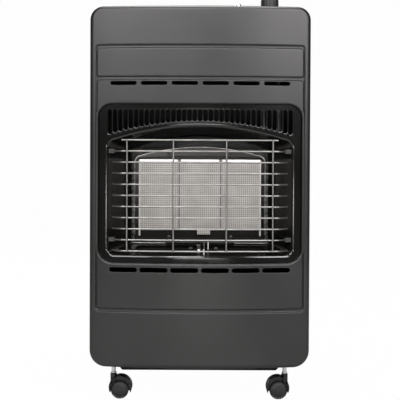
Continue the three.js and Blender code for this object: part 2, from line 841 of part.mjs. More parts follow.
/** The glossy surround: a crowned frame with the slotted grille above its arched mouth. */
function burnerSurround() {
  const shell = (sheet) =>
    ringLoft([
      inset(surroundOutline, sheet, behindFace(surroundFace + sheet)),
      inset(surroundOutline, sheet, behindFace(surroundFace + surroundFlange + (sheet ? 1 : 0))),
    ]);
  const mouth = (grow, from, to) =>
    ringLoft([
      inset(mouthOutline, -grow - mouthRoll, behindFace(from)),
      inset(mouthOutline, -grow, behindFace(to)),
    ]);
  const slots = [];
  for (let i = 0; i < grilleSlots; i++) {
    const x = (i - (grilleSlots - 1) / 2) * grillePitch;
    const foot = grilleFoot(x);
    const slot = stadium(x, (foot + grilleTop) / 2, grilleTop - foot, grilleSlotWidth, true);
    slots.push(prismY(slot, frontY - 1, frontY + surroundFlange + crownRise, slotEndSteps));
  }
  const body = shell(0).subtract(shell(surroundSheet)).subtract(mouth(0, surroundFace - 1, surroundFace + 3));
  return piece("burner_surround", body.subtract(join(slots)), blackEnamel);
}

const mouthDepth = surroundFace + surroundSheet + gap;
/** Where the reflector's mouth lies along Y at x. */
const mouthY = (x) => behindFace(mouthDepth)(x);

/** The reflector: a box flared towards the room, with a rim behind the surround. */
function reflectorBox() {
  const walls = (sheet) => {
    const mouth = inset(mouthOutline, -sheet, behindFace(mouthDepth));
    const back = inset(backWallOutline, -sheet, flatAt(backWallY + sheet));
    const lead = { ...mouth, y: behindFace(mouthDepth - 2) };
    return ringLoft(sheet ? [mouth, back] : [lead, mouth, back]);
  };
  const rim = ringLoft([
    inset(mouthOutline, -rimWidth, behindFace(mouthDepth)),
    inset(mouthOutline, -rimWidth, behindFace(mouthDepth + reflectorSheet)),
  ]);
  const burnerHole = box(
    -wallHoleHalfWidth, wallHoleHalfWidth, backWallY - 3, backWallY + 3, wallHoleBottom, wallHoleTop,
  );
  const pilotHole = box(
    pilotX - pilotHoleHalfWidth, pilotX + pilotHoleHalfWidth, pilotY - pilotHoleDepth / 2,
    pilotY + pilotHoleDepth / 2, recessBottom - 5, backWallBottom + 3,
  );
  const body = walls(reflectorSheet).add(rim).subtract(walls(0)).subtract(burnerHole);
  return piece("reflector_box", body.subtract(pilotHole), blackEnamel);
}

/** The guard's depth at x: a gentle bow, then the ends bent back to their clips. */
const guardY = (x) => guardFrontY + guardBow * (x / guardBend) ** 2;

function wireGuard() {
  const radius = guardWire / 2;
  const wires = [];
  for (let i = 0; i < guardWires; i++) {
    const z = guardTop - i * guardPitch;
    const points = [];
    const reach = i === 0 ? guardTopHalfWidth : guardBend;
    for (const x of [-reach, ...guardUprights, reach]) {
      points.push(new THREE.Vector3(x, guardY(x), z));
    }
    if (i > 0) {
      points.unshift(new THREE.Vector3(-guardHalfWidth, guardEndY, z));
      points.push(new THREE.Vector3(guardHalfWidth, guardEndY, z));
    }
    wires.push(polylineTube(points, radius, guardWireSides));
  }
  for (const x of guardUprights) {
    const y = guardY(x) - guardWire + weldSink;
    wires.push(upright(x, y, guardBottom - radius, guardTop + radius, radius, guardWireSides));
  }
  return piece("wire_guard", join(wires), brightWire);
}

/** A round wire through points that lie in one level plane, mitred at its corners. */
function polylineTube(points, radius, sides) {
  const positions = [];
  points.forEach((point, k) => {
    const before = points[Math.max(k - 1, 0)];
    const after = points[Math.min(k + 1, points.length - 1)];
    const arriving = point.clone().sub(before).normalize();
    const leaving = after.clone().sub(point).normalize();
    const along = arriving.clone().add(leaving).normalize();
    const stretch = 1 / Math.max(along.dot(k ? arriving : leaving), 0.5);
    const across = new THREE.Vector3(along.y, -along.x, 0);
    for (let i = 0; i < sides; i++) {
      const angle = ((i + 0.5) / sides) * 2 * Math.PI;
      const ring = point.clone().addScaledVector(across, radius * stretch * Math.cos(angle));
      positions.push(ring.x, ring.y, ring.z + radius * Math.sin(angle));
    }
  });
  const index = [];
  const last = (points.length - 1) * sides;
  for (let k = 0; k + 1 < points.length; k++) {
    for (let i = 0; i < sides; i++) {
      const [a, b] = [k * sides + i, k * sides + ((i + 1) % sides)];
      index.push(a, b, b + sides, a, b + sides, a + sides);
    }
  }
  for (let i = 1; i + 1 < sides; i++) {
    index.push(0, i + 1, i, last, last + i, last + i + 1);
  }
  const geometry = new THREE.BufferGeometry();
  geometry.setAttribute("position", new THREE.Float32BufferAttribute(positions, 3));
  geometry.setIndex(index);
  const body = solid(geometry);
  return body.volume() < 0 ? solid(flipped(geometry)) : body;
}

/** Where the reflector's side wall lies along X at a depth y. */
function sideWallX(y) {
  const share = (y - mouthY(recessHalfWidth)) / (backWallY - mouthY(recessHalfWidth));
  return recessHalfWidth + (backWallHalfWidth - recessHalfWidth) * share;
}

/** A clip on the reflector's side wall that takes the end of one guard wire. */
function guardClip(name, side, z) {
  const back = guardEndY + clipLength;
  const front = guardEndY - clipLength / 3;
  const wire = guardWire / 2 + gap;
  const outline = polygon([
    [sideWallX(front) - clipSeat, front],
    [sideWallX(back) - clipSeat, back],
    [sideWallX(back) - clipSeat - clipThickness, back],
    [guardHalfWidth - wire - clipThickness, front],
  ]);
  const plate = prismZ(outline, z - clipHeight / 2, z + clipHeight / 2);
  const y = guardY(guardBend);
  const direction = [guardHalfWidth - guardBend, guardEndY - y];
  const length = Math.hypot(...direction);
  const past = direction.map((d) => d * (1 + 1 / length));
  const passage = rod([guardBend, y, z], [guardBend + past[0], y + past[1], z], wire, 12);
  const body = plate.subtract(passage);
  return piece(name, side < 0 ? body.mirror([1, 0, 0]) : body, blackSteel);
}

// ---- Burner ----
const plaquePitch = plaqueWidth + plaqueJoint;
const plaqueTop = plaqueBottom + plaqueHeight;
const plaqueNames = ["left", "centre", "right"];
const plaqueX = (i) => (i - 1) * plaquePitch;
const wallHoleHalfWidth = plaqueX(2) + plaqueWidth / 2 + gap;
const wallHoleBottom = plaqueBottom - gap;
const wallHoleTop = plaqueTop + gap;
const housingFront = backWallY + reflectorSheet + gap;
const housingBack = housingFront + housingDepth;

/** The arched plate round the plaques, with a raised border. */
function burnerPlate() {
  const outline = (grow) => ({
    halfWidth: burnerPlateHalfWidth + grow,
    low: burnerPlateBottom - grow,
    high: burnerPlateTopMiddle + grow,
    rise: burnerPlateTopMiddle - burnerPlateTopEnd,
    lowRadius: burnerPlateRadius,
    highRadius: burnerPlateRadius,
  });
  const layer = (grow, front, back) =>
    ringLoft([
      { ...outline(grow), y: flatAt(front) },
      { ...outline(grow), y: flatAt(back) },
    ]);
  const back = backWallY - gap;
  const body = layer(0, back - borderDepth, back)
    .subtract(layer(-borderWidth, back - borderDepth - 1, back - burnerPlateSheet));
  const hole = box(
    -wallHoleHalfWidth, wallHoleHalfWidth, back - borderDepth, back + 1, wallHoleBottom, wallHoleTop,
  );
  return piece("burner_plate", body.subtract(hole), blackSteel);
}

/** A ceramic plaque with its bright top lip; the outer ones have a leg, the middle one a tab. */
function plaque(i) {
  const x = plaqueX(i);
  const [left, right] = [x - plaqueWidth / 2, x + plaqueWidth / 2];
  const seat = housingFront - gap;
  const parts = [
    box(left, right, plaqueFaceY, seat, plaqueBottom, plaqueTop),
    box(left, right, plaqueFaceY - lipDepth, plaqueFaceY + 1, plaqueTop - lipHeight, plaqueTop),
  ];
  if (i === 1) {
    const tabBack = plaqueFaceY + tabDepth;
    parts.push(box(tabLeft, tabRight, plaqueFaceY, tabBack, plaqueBottom - tabHeight, plaqueBottom + 1));
  } else {
    const outer = i === 0 ? left : right - legWidth;
    const [front, back] = [plaqueFaceY - lipDepth, plaqueFaceY + 1];
    parts.push(box(outer, outer + legWidth, front, back, plaqueBottom, plaqueTop));
    const middle = outer + legWidth / 2;
    const foot = [middle, plaqueFaceY, plaqueBottom - legDrop];
    parts.push(rod(foot, [middle, plaqueFaceY, plaqueBottom + 1], legWidth / 2, 10));
  }
  return piece("plaque_" + plaqueNames[i], join(parts), ceramic);
}

/** A housing behind a plaque, with the venturi that brings it gas and air from below. */
function burnerHousing(i) {
  const x = plaqueX(i);
  const middleY = (housingFront + housingBack) / 2;
  const [low, high] = [wallHoleBottom - housingLap, wallHoleTop + housingLap];
  const shell = box(x - plaqueWidth / 2, x + plaqueWidth / 2, housingFront, housingBack, low, high);
  const hollow = box(
    x - plaqueWidth / 2 + housingLap, x + plaqueWidth / 2 - housingLap, housingFront - 1,
    housingBack - bodySheet, plaqueBottom + 1, plaqueTop - 1,
  );
  const bell = [
    [0, venturiMouthZ],
    [venturiRadius + 2, venturiMouthZ],
    [venturiRadius, venturiMouthZ + 10],
    [venturiRadius, low + 1],
    [0, low + 1],
  ];
  const bore = [
    [0, venturiMouthZ - 1],
    [venturiRadius + 1, venturiMouthZ - 1],
    [venturiRadius - bodySheet, venturiMouthZ + 10],
    [venturiRadius - bodySheet, plaqueBottom + 5],
    [0, plaqueBottom + 5],
  ];
  const [outside, inside] = [bell, bore].map((profile) => turned(profile, x, middleY, 14));
  const body = shell.add(outside).subtract(hollow).subtract(inside);
  return piece("burner_housing_" + plaqueNames[i], body, aluminium);
}

const manifoldY = (housingFront + housingBack) / 2;
const injectorBase = manifoldZ + manifoldRadius + gap;

/** The gas manifold under the venturis, on two feet that reach the heat shield. */
function gasManifold() {
  const left = plaqueX(0) - manifoldOverhang;
  const ends = [left, burnerPipeX - pipeBend].map((x) => [x, manifoldY, manifoldZ]);
  const parts = [rod(...ends, manifoldRadius, 12)];
  for (const i of [0, 1, 2]) {
    const x = plaqueX(i);
    const half = manifoldBoss / 2;
    const [front, back] = [manifoldY - half, manifoldY + half];
    parts.push(box(x - half, x + half, front, back, manifoldZ - half, injectorBase - gap));
  }
  for (const x of [plaqueX(0.5), plaqueX(1.5)]) {
    const [left, right] = [x - manifoldFoot / 2, x + manifoldFoot / 2];
    const back = shieldY - gap;
    const [under, over] = [manifoldZ - manifoldFootSheet / 2, manifoldZ + manifoldFootSheet / 2];
    const [low, high] = [manifoldZ - manifoldFootHeight / 2, manifoldZ + manifoldFootHeight / 2];
    parts.push(box(left, right, manifoldY, back, under, over));
    parts.push(box(left, right, back - manifoldFootSheet, back, low, high));
  }
  return piece("gas_manifold", join(parts), blackSteel);
}

/** A brass injector: a hexagon and a tapering nose under the venturi's mouth. */
function injector(i) {
  const x = plaqueX(i);
  const hexagon = rod([x, manifoldY, injectorBase], [x, manifoldY, injectorBase + 5], 5, 6);
  const nose = [
    [0, injectorBase + 4],
    [3.2, injectorBase + 4],
    [3.2, injectorBase + 9],
    [2, injectorBase + injectorLength],
    [0, injectorBase + injectorLength],
  ];
  return piece("injector_" + plaqueNames[i], hexagon.add(turned(nose, x, manifoldY, 12)), brass);
}

/** Height of the underside of the reflector's floor near the middle, at a depth y. */
function floorUnderside(y) {
  const front = mouthY(0);
  const slope = (backWallBottom - recessBottom) / (backWallY - front);
  return recessBottom + slope * (y - front) - reflectorSheet;
}

const pilotDeck = floorUnderside(pilotY - pilotHoleDepth / 2) - bracketDrop;

/** The pilot's bracket under the opening in the reflector's floor, held at its two ends. */
function pilotBracket() {
  const [left, right] = [pilotX - bracketHalfWidth, pilotX + bracketHalfWidth];
  const [front, back] = [pilotY - pilotHoleDepth / 2, pilotY + pilotHoleDepth / 2];
  const deck = box(left, right, front, back, pilotDeck - bodySheet, pilotDeck);
  const ear = polygon([
    [front, pilotDeck - bodySheet],
    [back, pilotDeck - bodySheet],
    [back, floorUnderside(back) - gap],
    [front, floorUnderside(front) - gap],
  ]);
  const parts = [deck, prismX(ear, left, left + earWidth), prismX(ear, right - earWidth, right)];
  const holes = [pilotBurnerX, thermocoupleX, electrodeX].map((x) =>
    rod([x, pilotY, pilotDeck - 3], [x, pilotY, pilotDeck + 3], pilotStemRadius + gap, 12),
  );
  return piece("pilot_bracket", join(parts).subtract(join(holes)), galvanised);
}

/** The pilot burner: a stem through the bracket and a hood that throws the flame sideways. */
function pilotBurner() {
  const x = pilotBurnerX;
  const profile = [
    [0, pilotDeck - pilotStemDrop],
    [pilotStemRadius, pilotDeck - pilotStemDrop],
    [pilotStemRadius, pilotDeck + gap],
    [pilotStemRadius + 1.5, pilotDeck + gap],
    [pilotStemRadius + 1.5, pilotDeck + 11],
    [pilotStemRadius, pilotDeck + 13],
    [0, pilotDeck + 13],
  ];
  const window = box(x - 1, x + 8, pilotY - 1.5, pilotY + 1.5, pilotDeck + 6, pilotDeck + 10);
  return piece("pilot_burner", turned(profile, x, pilotY, 12).subtract(window), brass);
}

/** A probe that stands in the bracket: shank, shoulder and tip. */
function probe(name, x, tip, shank, look) {
  const profile = [
    [0, pilotDeck - 18],
    [shank, pilotDeck - 18],
    [shank, pilotDeck + gap],
    [shank + 1, pilotDeck + gap],
    [shank + 1, pilotDeck + 4],
    [tip, pilotDeck + 5],
    [tip, pilotDeck + 17],
    [0, pilotDeck + 18],
  ];
  return piece(name, turned(profile, x, pilotY, 12), look);
}

// ---- Controls ----
const neckBase = valveBodyTop - neckSink;
const coverUnderside = bodyTop - bodySheet;
const valveBottom = valveBodyTop - valveBodyHeight;

/** The gas valve: a cast body whose neck reaches the top cover and guides the spindle. */
function gasValve() {
  const half = valveBodyWidth / 2;
  const neck = upright(valveX, valveY, valveBodyTop - 1, coverUnderside - gap, neckRadius, 20);
  const body = join([
    box(valveX - half, valveX + half, valveY - half, valveY + half, valveBottom, valveBodyTop),
    neck,
    rod([valveX, valveY + half - 1, nozzleZ], [valveX, valveY + half + 8, nozzleZ], 8, 6),
  ]);
  const guide = upright(valveX, valveY, neckBase, coverUnderside + 1, collarRadius + gap, 20);
  const boreFoot = spindleFoot - knobTravel - 2;
  const bore = upright(valveX, valveY, boreFoot, neckBase + 1, spindleRadius + gap, 16);
  const inlet = rod(
    [valveX, valveY + half - 2, nozzleZ], [valveX, valveY + half + 9, nozzleZ], nozzleShank + gap, 12,
  );
  return piece("gas_valve", body.subtract(guide).subtract(bore).subtract(inlet), brass);
}

/** The sliding collar in the valve's neck: it moves down when the knob is pushed. */
function spindleCollar() {
  const top = collarZ + collarHeight;
  const ring = upright(valveX, valveY, collarZ, top, collarRadius, 16);
  const bore = upright(valveX, valveY, collarZ - 1, top + 1, spindleRadius + gap, 16);
  return piece("spindle_collar", ring.subtract(bore), blackSteel);
}

function knobSpindle() {
  const shoulder = collarZ + collarHeight + gap;
  const top = knobBottom + spindleReach;
  const stem = upright(valveX, valveY, spindleFoot, top, spindleRadius, 16);
  const flange = upright(valveX, valveY, shoulder, shoulder + 2, collarRadius, 16);
  const cut = valveX + spindleRadius - 1; // the D-shaped end's flat
  const flat = box(cut, cut + 2, valveY - spindleRadius, valveY + spindleRadius, knobBottom + 1, top + 1);
  return piece("knob_spindle", stem.add(flange).subtract(flat), brass);
}

/** The control knob: a straight skirt, a chamfered top and a shallow grip bar. */
function controlKnob() {
  const top = knobBottom + knobHeight;
  const profile = [
    [0, knobBottom],
    [knobRadius - 1, knobBottom],
    [knobRadius, knobBottom + 1],
    [knobRadius, top - knobChamfer],
    [knobRadius - knobChamfer, top - 1],
    [knobRadius - knobChamfer - 1, top],
    [0, top],
  ];
  const boreTop = knobBottom + spindleReach + gap;
  const bore = upright(valveX, valveY, knobBottom - 1, boreTop, spindleRadius + gap, 16);
  const flutes = [];
  for (let i = 0; i < knobFlutes; i++) {
    const angle = (i / knobFlutes) * 2 * Math.PI;
    const x = valveX + (knobRadius + 1) * Math.cos(angle);
    const y = valveY + (knobRadius + 1) * Math.sin(angle);
    flutes.push(upright(x, y, knobBottom + 4, top + 1, 1.6, 6));
  }
  const pointer = box(valveX - 1, valveX + 1, valveY - knobRadius, valveY - 4, top - 0.8, top + 1);
  const body = turned(profile, valveX, valveY, 24).subtract(bore).subtract(join(flutes)).subtract(pointer);
  return piece("control_knob", body, greyPlastic);
}

/** The inlet nozzle that takes the gas hose: a shank in the valve and a barbed tail. */
function hoseNozzle() {
  const start = valveY + valveBodyWidth / 2 - 1.5;
  const bar = (from, to, radius, sides) =>
    rod([valveX, start + from, nozzleZ], [valveX, start + to, nozzleZ], radius, sides);
  const parts = [bar(0, 14, nozzleShank, 12), bar(10, 16, nozzleShank + 2, 6)];
  parts.push(bar(15, nozzleLength, nozzleShank - 0.8, 12));
  for (const barb of [22, 27, 32]) parts.push(bar(barb, barb + 2, nozzleShank, 12));
  return piece("hose_nozzle", join(parts), brass);
}

/** A pipe along straight runs with rounded elbows. */
function pipe(name, points, radius, look) {
  const path = new THREE.CurvePath();
  const corners = points.map((point) => new THREE.Vector3(...point));
  let from = corners[0];
  for (let i = 1; i + 1 < corners.length; i++) {
    const corner = corners[i];
    const before = corner.clone().add(corners[i - 1].clone().sub(corner).setLength(pipeBend));
    const after = corner.clone().add(corners[i + 1].clone().sub(corner).setLength(pipeBend));
    path.add(new THREE.LineCurve3(from, before));
    path.add(new THREE.QuadraticBezierCurve3(before, corner, after));
    from = after;
  }
  path.add(new THREE.LineCurve3(from, corners.at(-1)));
  return piece(name, tube(path, radius, pipeSteps), look);
}

function burnerPipe() {
  const start = [burnerPipeX - pipeBend + gap, manifoldY, manifoldZ];
  const elbow = [burnerPipeX, manifoldY, manifoldZ];
  const [x, level] = [valveX + burnerPipeOffset, valveBottom - burnerPipeDrop];
  const top = [burnerPipeX, manifoldY, level];
  const under = [x, manifoldY, level];
  const end = [x, manifoldY, valveBottom - gap];
  return pipe("burner_pipe", [start, elbow, top, under, end], burnerPipeRadius, aluminium);
}

function pilotPipe() {
  const pilotFoot = pilotDeck - pilotStemDrop - gap;
  const x = pilotBurnerX;
  const run = manifoldZ - pilotPipeDrop;
  const side = valveX + pilotPipeOffset;
  return pipe(
    "pilot_pipe",
    [
      [x, pilotY, pilotFoot],
      [x, pilotY, run],
      [x, pilotPipeY, run],
      [side, pilotPipeY, run],
      [side, pilotPipeY, valveBottom - gap],
    ],
    pilotPipeRadius,
    aluminium,
  );
}

/** The igniter's body: a threaded barrel through the top cover with a shoulder under it. */
function igniterBody() {
  const top = bodyTop + igniterStand;
  const profile = [
    [0, coverUnderside - igniterBodyLength],
    [igniterRadius - 1.5, coverUnderside - igniterBodyLength],
    [igniterRadius - 1.5, coverUnderside - 26],
    [igniterRadius, coverUnderside - 24],
    [igniterRadius + 3, coverUnderside - 24],
    [igniterRadius + 3, coverUnderside - gap],
    [igniterRadius, coverUnderside - gap],
    [igniterRadius, top],
    [0, top],
  ];
  const bore = rod(
    [igniterX, igniterY, coverUnderside - 22], [igniterX, igniterY, top + 1], igniterButtonRadius + gap, 20,
  );
  return piece("igniter_body", turned(profile, igniterX, igniterY, 20).subtract(bore), blackPlastic);
}

function igniterNut() {
  const [low, high] = [bodyTop + gap, bodyTop + igniterStand + 0.7];
  const profile = [
    [igniterRadius + gap, low],
    [igniterRadius + 3, low],
    [igniterRadius + 3, high - 1],
    [igniterRadius + 2, high],
    [igniterRadius + gap, high],
    [igniterRadius + gap, low],
  ];
  return piece("igniter_nut", turned(profile, igniterX, igniterY, 24), chrome);
}

/** The igniter's push button, with a domed head. */
function igniterButton() {
  const top = bodyTop + buttonProud;
  const profile = [
    [0, coverUnderside - 16],
    [igniterButtonRadius, coverUnderside - 16],
    [igniterButtonRadius, top - buttonDome],
    ...[20, 40, 60].map((degrees) => {
      const angle = THREE.MathUtils.degToRad(degrees);
      return [igniterButtonRadius * Math.cos(angle), top - buttonDome * (1 - Math.sin(angle))];
    }),
    [0, top],
  ];
  return piece("igniter_button", turned(profile, igniterX, igniterY, 16), chrome);
}

// ---- Castors, in a frame with the stem on the Z axis and the wheels trailing towards +X ----
const wheelInner = wheelGap / 2;
const wheelOuter = wheelInner + wheelWidth;
const hoodX = castorTrail + hoodShift;
const hoodZ = wheelRadius + hoodLift;
const hoodInner = hoodRadius - hoodSheet;

/** A disc outline turned about the castor's axle, from one side y to another. */
const axleDisc = (x, z, radius, y0, y1, sides) => rod([x, y0, z], [x, y1, z], radius, sides);

function castorStem() {
  const low = stemHousingTop - stemDepth;
  const collar = rod([0, 0, stemHousingTop + gap], [0, 0, stemHousingTop + gap + 2], stemRadius + 1.2, 12);
  return rod([0, 0, low + gap], [0, 0, bodyBottom + socketHeight - 4], stemRadius, 12).add(collar);
}

/** The hood: an arched guard over both wheels, with a web between them and the stem's housing. */
function castorHood() {
  const reach = wheelOuter + hoodOverhang;
  const band = axleDisc(hoodX, hoodZ, hoodRadius, -reach, reach, castorSides);
  const housing = rod([0, 0, hoodZ + 6], [0, 0, stemHousingTop], stemHousingRadius, 12);
  const wheelRoom = axleDisc(hoodX, hoodZ, hoodInner, -reach - 1, reach + 1, castorSides);
  const web = axleDisc(hoodX, hoodZ, hoodInner + 0.5, -wheelInner + gap, wheelInner - gap, castorSides);
  const below = hoodZ - hoodRadius * Math.sin(THREE.MathUtils.degToRad(hoodDrop));
  const cut = box(hoodX - 40, hoodX + 40, -reach - 1, reach + 1, below - 40, below);
  const axleHole = axleDisc(castorTrail, wheelRadius, axleRadius + gap, -5, 5, 10);
  const webBelow = box(hoodX - 40, hoodX + 40, -5, 5, wheelRadius - 30, wheelRadius - axleRadius - 4);
  const stemBore = rod(
    [0, 0, stemHousingTop - stemDepth], [0, 0, stemHousingTop + 1], stemRadius + gap, 12,
  );
  return band
    .add(housing)
    .subtract(wheelRoom)
    .subtract(cut)
    .add(web.subtract(webBelow))
    .subtract(axleHole)
    .subtract(stemBore);
}

/** One wheel: rounded shoulders, a blind bore for the axle and a dished outer face. */
function castorWheel() {
  const shoulder = 2;
  const profile = [
    [0, wheelInner],
    [wheelRadius - shoulder, wheelInner],
    [wheelRadius, wheelInner + shoulder],
    [wheelRadius, wheelOuter - shoulder],
    [wheelRadius - shoulder, wheelOuter],
    [wheelRadius - 2 * shoulder, wheelOuter - wheelDish],
    [0, wheelOuter - wheelDish / 2],
  ];
  const upturned = turned(profile, 0, 0, castorSides);
  const disc = upturned.rotate([-90, 0, 0]).translate([castorTrail, 0, wheelRadius]);
  const bore = axleDisc(
    castorTrail, wheelRadius, axleRadius + gap, wheelInner - 1, wheelOuter - wheelFaceWall, 10,
  );
  return disc.subtract(bore);
}

function castor({ name, x, y, heading }) {
  const group = new THREE.Group();
  group.position.set(x, y, 0);
  group.rotation.z = THREE.MathUtils.degToRad(heading);
  const wheel = castorWheel();
  const axleReach = wheelOuter - wheelFaceWall - gap;
  const axle = axleDisc(castorTrail, wheelRadius, axleRadius, -axleReach, axleReach, 10);
  group.add(
    piece(`castor_${name}_stem`, castorStem(), chrome),
    piece(`castor_${name}_hood`, castorHood(), blackPlastic),
    piece(`castor_${name}_axle`, axle, chrome),
    piece(`castor_${name}_wheel_a`, wheel, blackPlastic),
    piece(`castor_${name}_wheel_b`, wheel.mirror([0, 1, 0]), blackPlastic),
  );
  return group;
}

// ---- The heater ----
const heater = new THREE.Group();
heater.add(
  frontPanel(),
  sidePanel(-1),
  sidePanel(1),
  topCover(),
  baseTray(),
  rearCover(),
  heatShield(),
  burnerSurround(),
  reflectorBox(),
  wireGuard(),
);
const clipHeights = { top: guardTop - guardPitch, bottom: guardTop - (guardWires - 2) * guardPitch };
for (const [level, z] of Object.entries(clipHeights)) {
  heater.add(guardClip(`guard_clip_${level}_left`, -1, z), guardClip(`guard_clip_${level}_right`, 1, z));
}
heater.add(burnerPlate());
for (const i of [0, 1, 2]) heater.add(plaque(i), burnerHousing(i), injector(i));
heater.add(
  gasManifold(),
  pilotBracket(),
  pilotBurner(),
  probe("thermocouple", thermocoupleX, 1.6, 2, chrome),
  probe("spark_electrode", electrodeX, 0.9, 2, ceramic),
  gasValve(),
  spindleCollar(),
  knobSpindle(),
  controlKnob(),
  hoseNozzle(),
  burnerPipe(),
  pilotPipe(),
  igniterBody(),
  igniterNut(),
  igniterButton(),
  ...castors.map(castor),
);

export default heater;
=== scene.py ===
"""Looks of a portable gas cabinet heater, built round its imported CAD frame.

Metres, +X right, +Y to the back, +Z up, with the origin on the floor under the middle of the
cabinet. Each sub-assembly is a class with its sizes as fields; the finishes come first.
"""

from __future__ import annotations

import logging
import math
from collections.abc import Iterable, Sequence
from dataclasses import dataclass, replace
from enum import Enum
from fnmatch import fnmatch
from functools import cache

import bmesh
import bpy
from mathutils import Euler, Matrix, Vector

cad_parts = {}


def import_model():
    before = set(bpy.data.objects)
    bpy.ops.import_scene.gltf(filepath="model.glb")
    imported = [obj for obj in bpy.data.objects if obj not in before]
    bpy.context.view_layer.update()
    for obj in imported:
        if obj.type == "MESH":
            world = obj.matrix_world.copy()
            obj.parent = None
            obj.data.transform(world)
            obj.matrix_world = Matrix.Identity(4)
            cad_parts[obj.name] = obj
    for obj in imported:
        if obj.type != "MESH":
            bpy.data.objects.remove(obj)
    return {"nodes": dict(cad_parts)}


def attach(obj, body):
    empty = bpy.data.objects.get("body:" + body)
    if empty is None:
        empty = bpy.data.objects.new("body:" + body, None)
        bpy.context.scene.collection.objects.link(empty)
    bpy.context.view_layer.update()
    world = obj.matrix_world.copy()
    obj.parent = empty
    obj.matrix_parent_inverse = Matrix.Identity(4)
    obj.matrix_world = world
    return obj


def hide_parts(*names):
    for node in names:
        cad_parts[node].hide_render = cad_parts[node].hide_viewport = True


log = logging.getLogger("heater")

MM = 0.001
GAP = 0.3 * MM
CABINET_WIDTH = 410 * MM
HALF_WIDTH = CABINET_WIDTH / 2
FRONT_Y = -215 * MM
CROWN_RISE = 22 * MM
CROWN_RADIUS = (HALF_WIDTH**2 + CROWN_RISE**2) / (2 * CROWN_RISE)
SMOOTH_ANGLE = math.radians(32)
SNAP = 0.001 * MM
LEAST_RADIUS = 0.4 * MM
ARCH_CUTS = 39

Socket = bpy.types.NodeSocket
Color = tuple[float, float, float]


def crown(x: float) -> float:
    """How far the crowned front has fallen back at x."""
    return CROWN_RADIUS - math.sqrt(CROWN_RADIUS**2 - x * x)


class Axis(Enum):
    """The axis that a turned piece is made about."""

    X = Matrix.Rotation(math.radians(90), 4, "Y")
    BACKWARD_X = Matrix.Rotation(math.radians(-90), 4, "Y")
    Y = Matrix.Rotation(math.radians(-90), 4, "X")
    Z = Matrix.Identity(4)
    DOWN = Matrix.Rotation(math.radians(180), 4, "X")
    FRONT = Matrix.Rotation(math.radians(90), 4, "X")


# ---- Finishes ----
class Nodes:
    """A short way to lay out a procedural material's nodes."""

    def __init__(self, name: str) -> None:
        """Starts a material with its Principled shader."""
        self.material = bpy.data.materials.new(name)
        self.material.use_nodes = True
        self.tree = self.material.node_tree
        self.shader = self.tree.nodes["Principled BSDF"]

    def add(self, kind: str, **inputs: object) -> bpy.types.Node:
        """Adds a node and sets or links its inputs.

        Args:
            kind: The node's type, without the ShaderNode prefix.
            inputs: A socket's name, with _ for a space, and its value or the socket linked to it.

        Returns:
            The new node.
        """
        node = self.tree.nodes.new("ShaderNode" + kind)
        for key, value in inputs.items():
            self.set(node, key.replace("_", " "), value)
        return node

    def set(self, node: bpy.types.Node, socket: str | int, value: object) -> None:
        """Sets a socket, or links it where the value is another node's output.

        Args:
            node: The node.
            socket: The socket's name or number.
            value: A number or a colour, or the socket that is linked to it.
        """
        if isinstance(value, Socket):
            self.tree.links.new(value, node.inputs[socket])
        else:
            node.inputs[socket].default_value = value

    def shade(self, **inputs: object) -> None:
        """Sets or links the Principled shader's inputs."""
        for key, value in inputs.items():
            self.set(self.shader, key.replace("_", " "), value)

    def place(self, scale: Sequence[float] = (1, 1, 1)) -> Socket:
        """The object's own coordinates, scaled by a Mapping node."""
        source = self.tree.nodes.new("ShaderNodeTexCoord").outputs["Object"]
        return self.add("Mapping", Vector=source, Scale=scale).outputs["Vector"]

    def noise(self, scale: float, detail: float = 2, stretch: Sequence[float] = (1, 1, 1)) -> Socket:
        """A noise's factor.

        Args:
            scale: Cells per metre.
            detail: Octaves of finer noise.
            stretch: How the object's coordinates are scaled first.

        Returns:
            The node's output.
        """
        node = self.add("TexNoise", Vector=self.place(stretch), Scale=scale, Detail=detail)
        return node.outputs["Fac"]

    def span(self, value: Socket, low: float, high: float, start: float = 0.0, end: float = 1.0) -> Socket:
        """Maps a value from one range to another.

        Args:
            value: The socket that is mapped.
            low: What the start becomes.
            high: What the end becomes.
            start: The first range's start.
            end: Its end.

        Returns:
            The node's output.
        """
        node = self.add("MapRange")
        for socket, number in enumerate((value, start, end, low, high)):
            self.set(node, socket, number)
        return node.outputs[0]

    def blend(self, factor: Socket, first: Color | Socket, second: Color | Socket) -> Socket:
        """Mixes two colours by a factor.

        Args:
            factor: 0 gives the first and 1 the second.
            first: A colour, or a socket that gives one.
            second: The other one.

        Returns:
            The node's output.
        """
        node = self.tree.nodes.new("ShaderNodeMix")
        node.data_type = "RGBA"
        self.set(node, 0, factor)
        for socket, color in ((6, first), (7, second)):
            self.set(node, socket, color if isinstance(color, Socket) else (*color, 1))
        return node.outputs[2]

    def compute(self, operation: str, first: Socket, second: float | Socket = 0.0) -> Socket:
        """The result of a Math node.

        Args:
            operation: What it does.
            first: Its first input.
            second: Its second input, where the operation has one.

        Returns:
            The node's output.
        """
        node = self.add("Math")
        node.operation = operation
        self.set(node, 0, first)
        self.set(node, 1, second)
        return node.outputs[0]

    def bump(self, height: Socket, depth: float, strength: float = 1.0) -> None:
        """Bumps the surface by a height.

        Args:
            height: The height.
            depth: What a height of 1 stands for, in metres.
            strength: The share of it that shows.
        """
        node = self.add("Bump", Height=height, Distance=depth, Strength=strength)
        self.shade(Normal=node.outputs["Normal"])


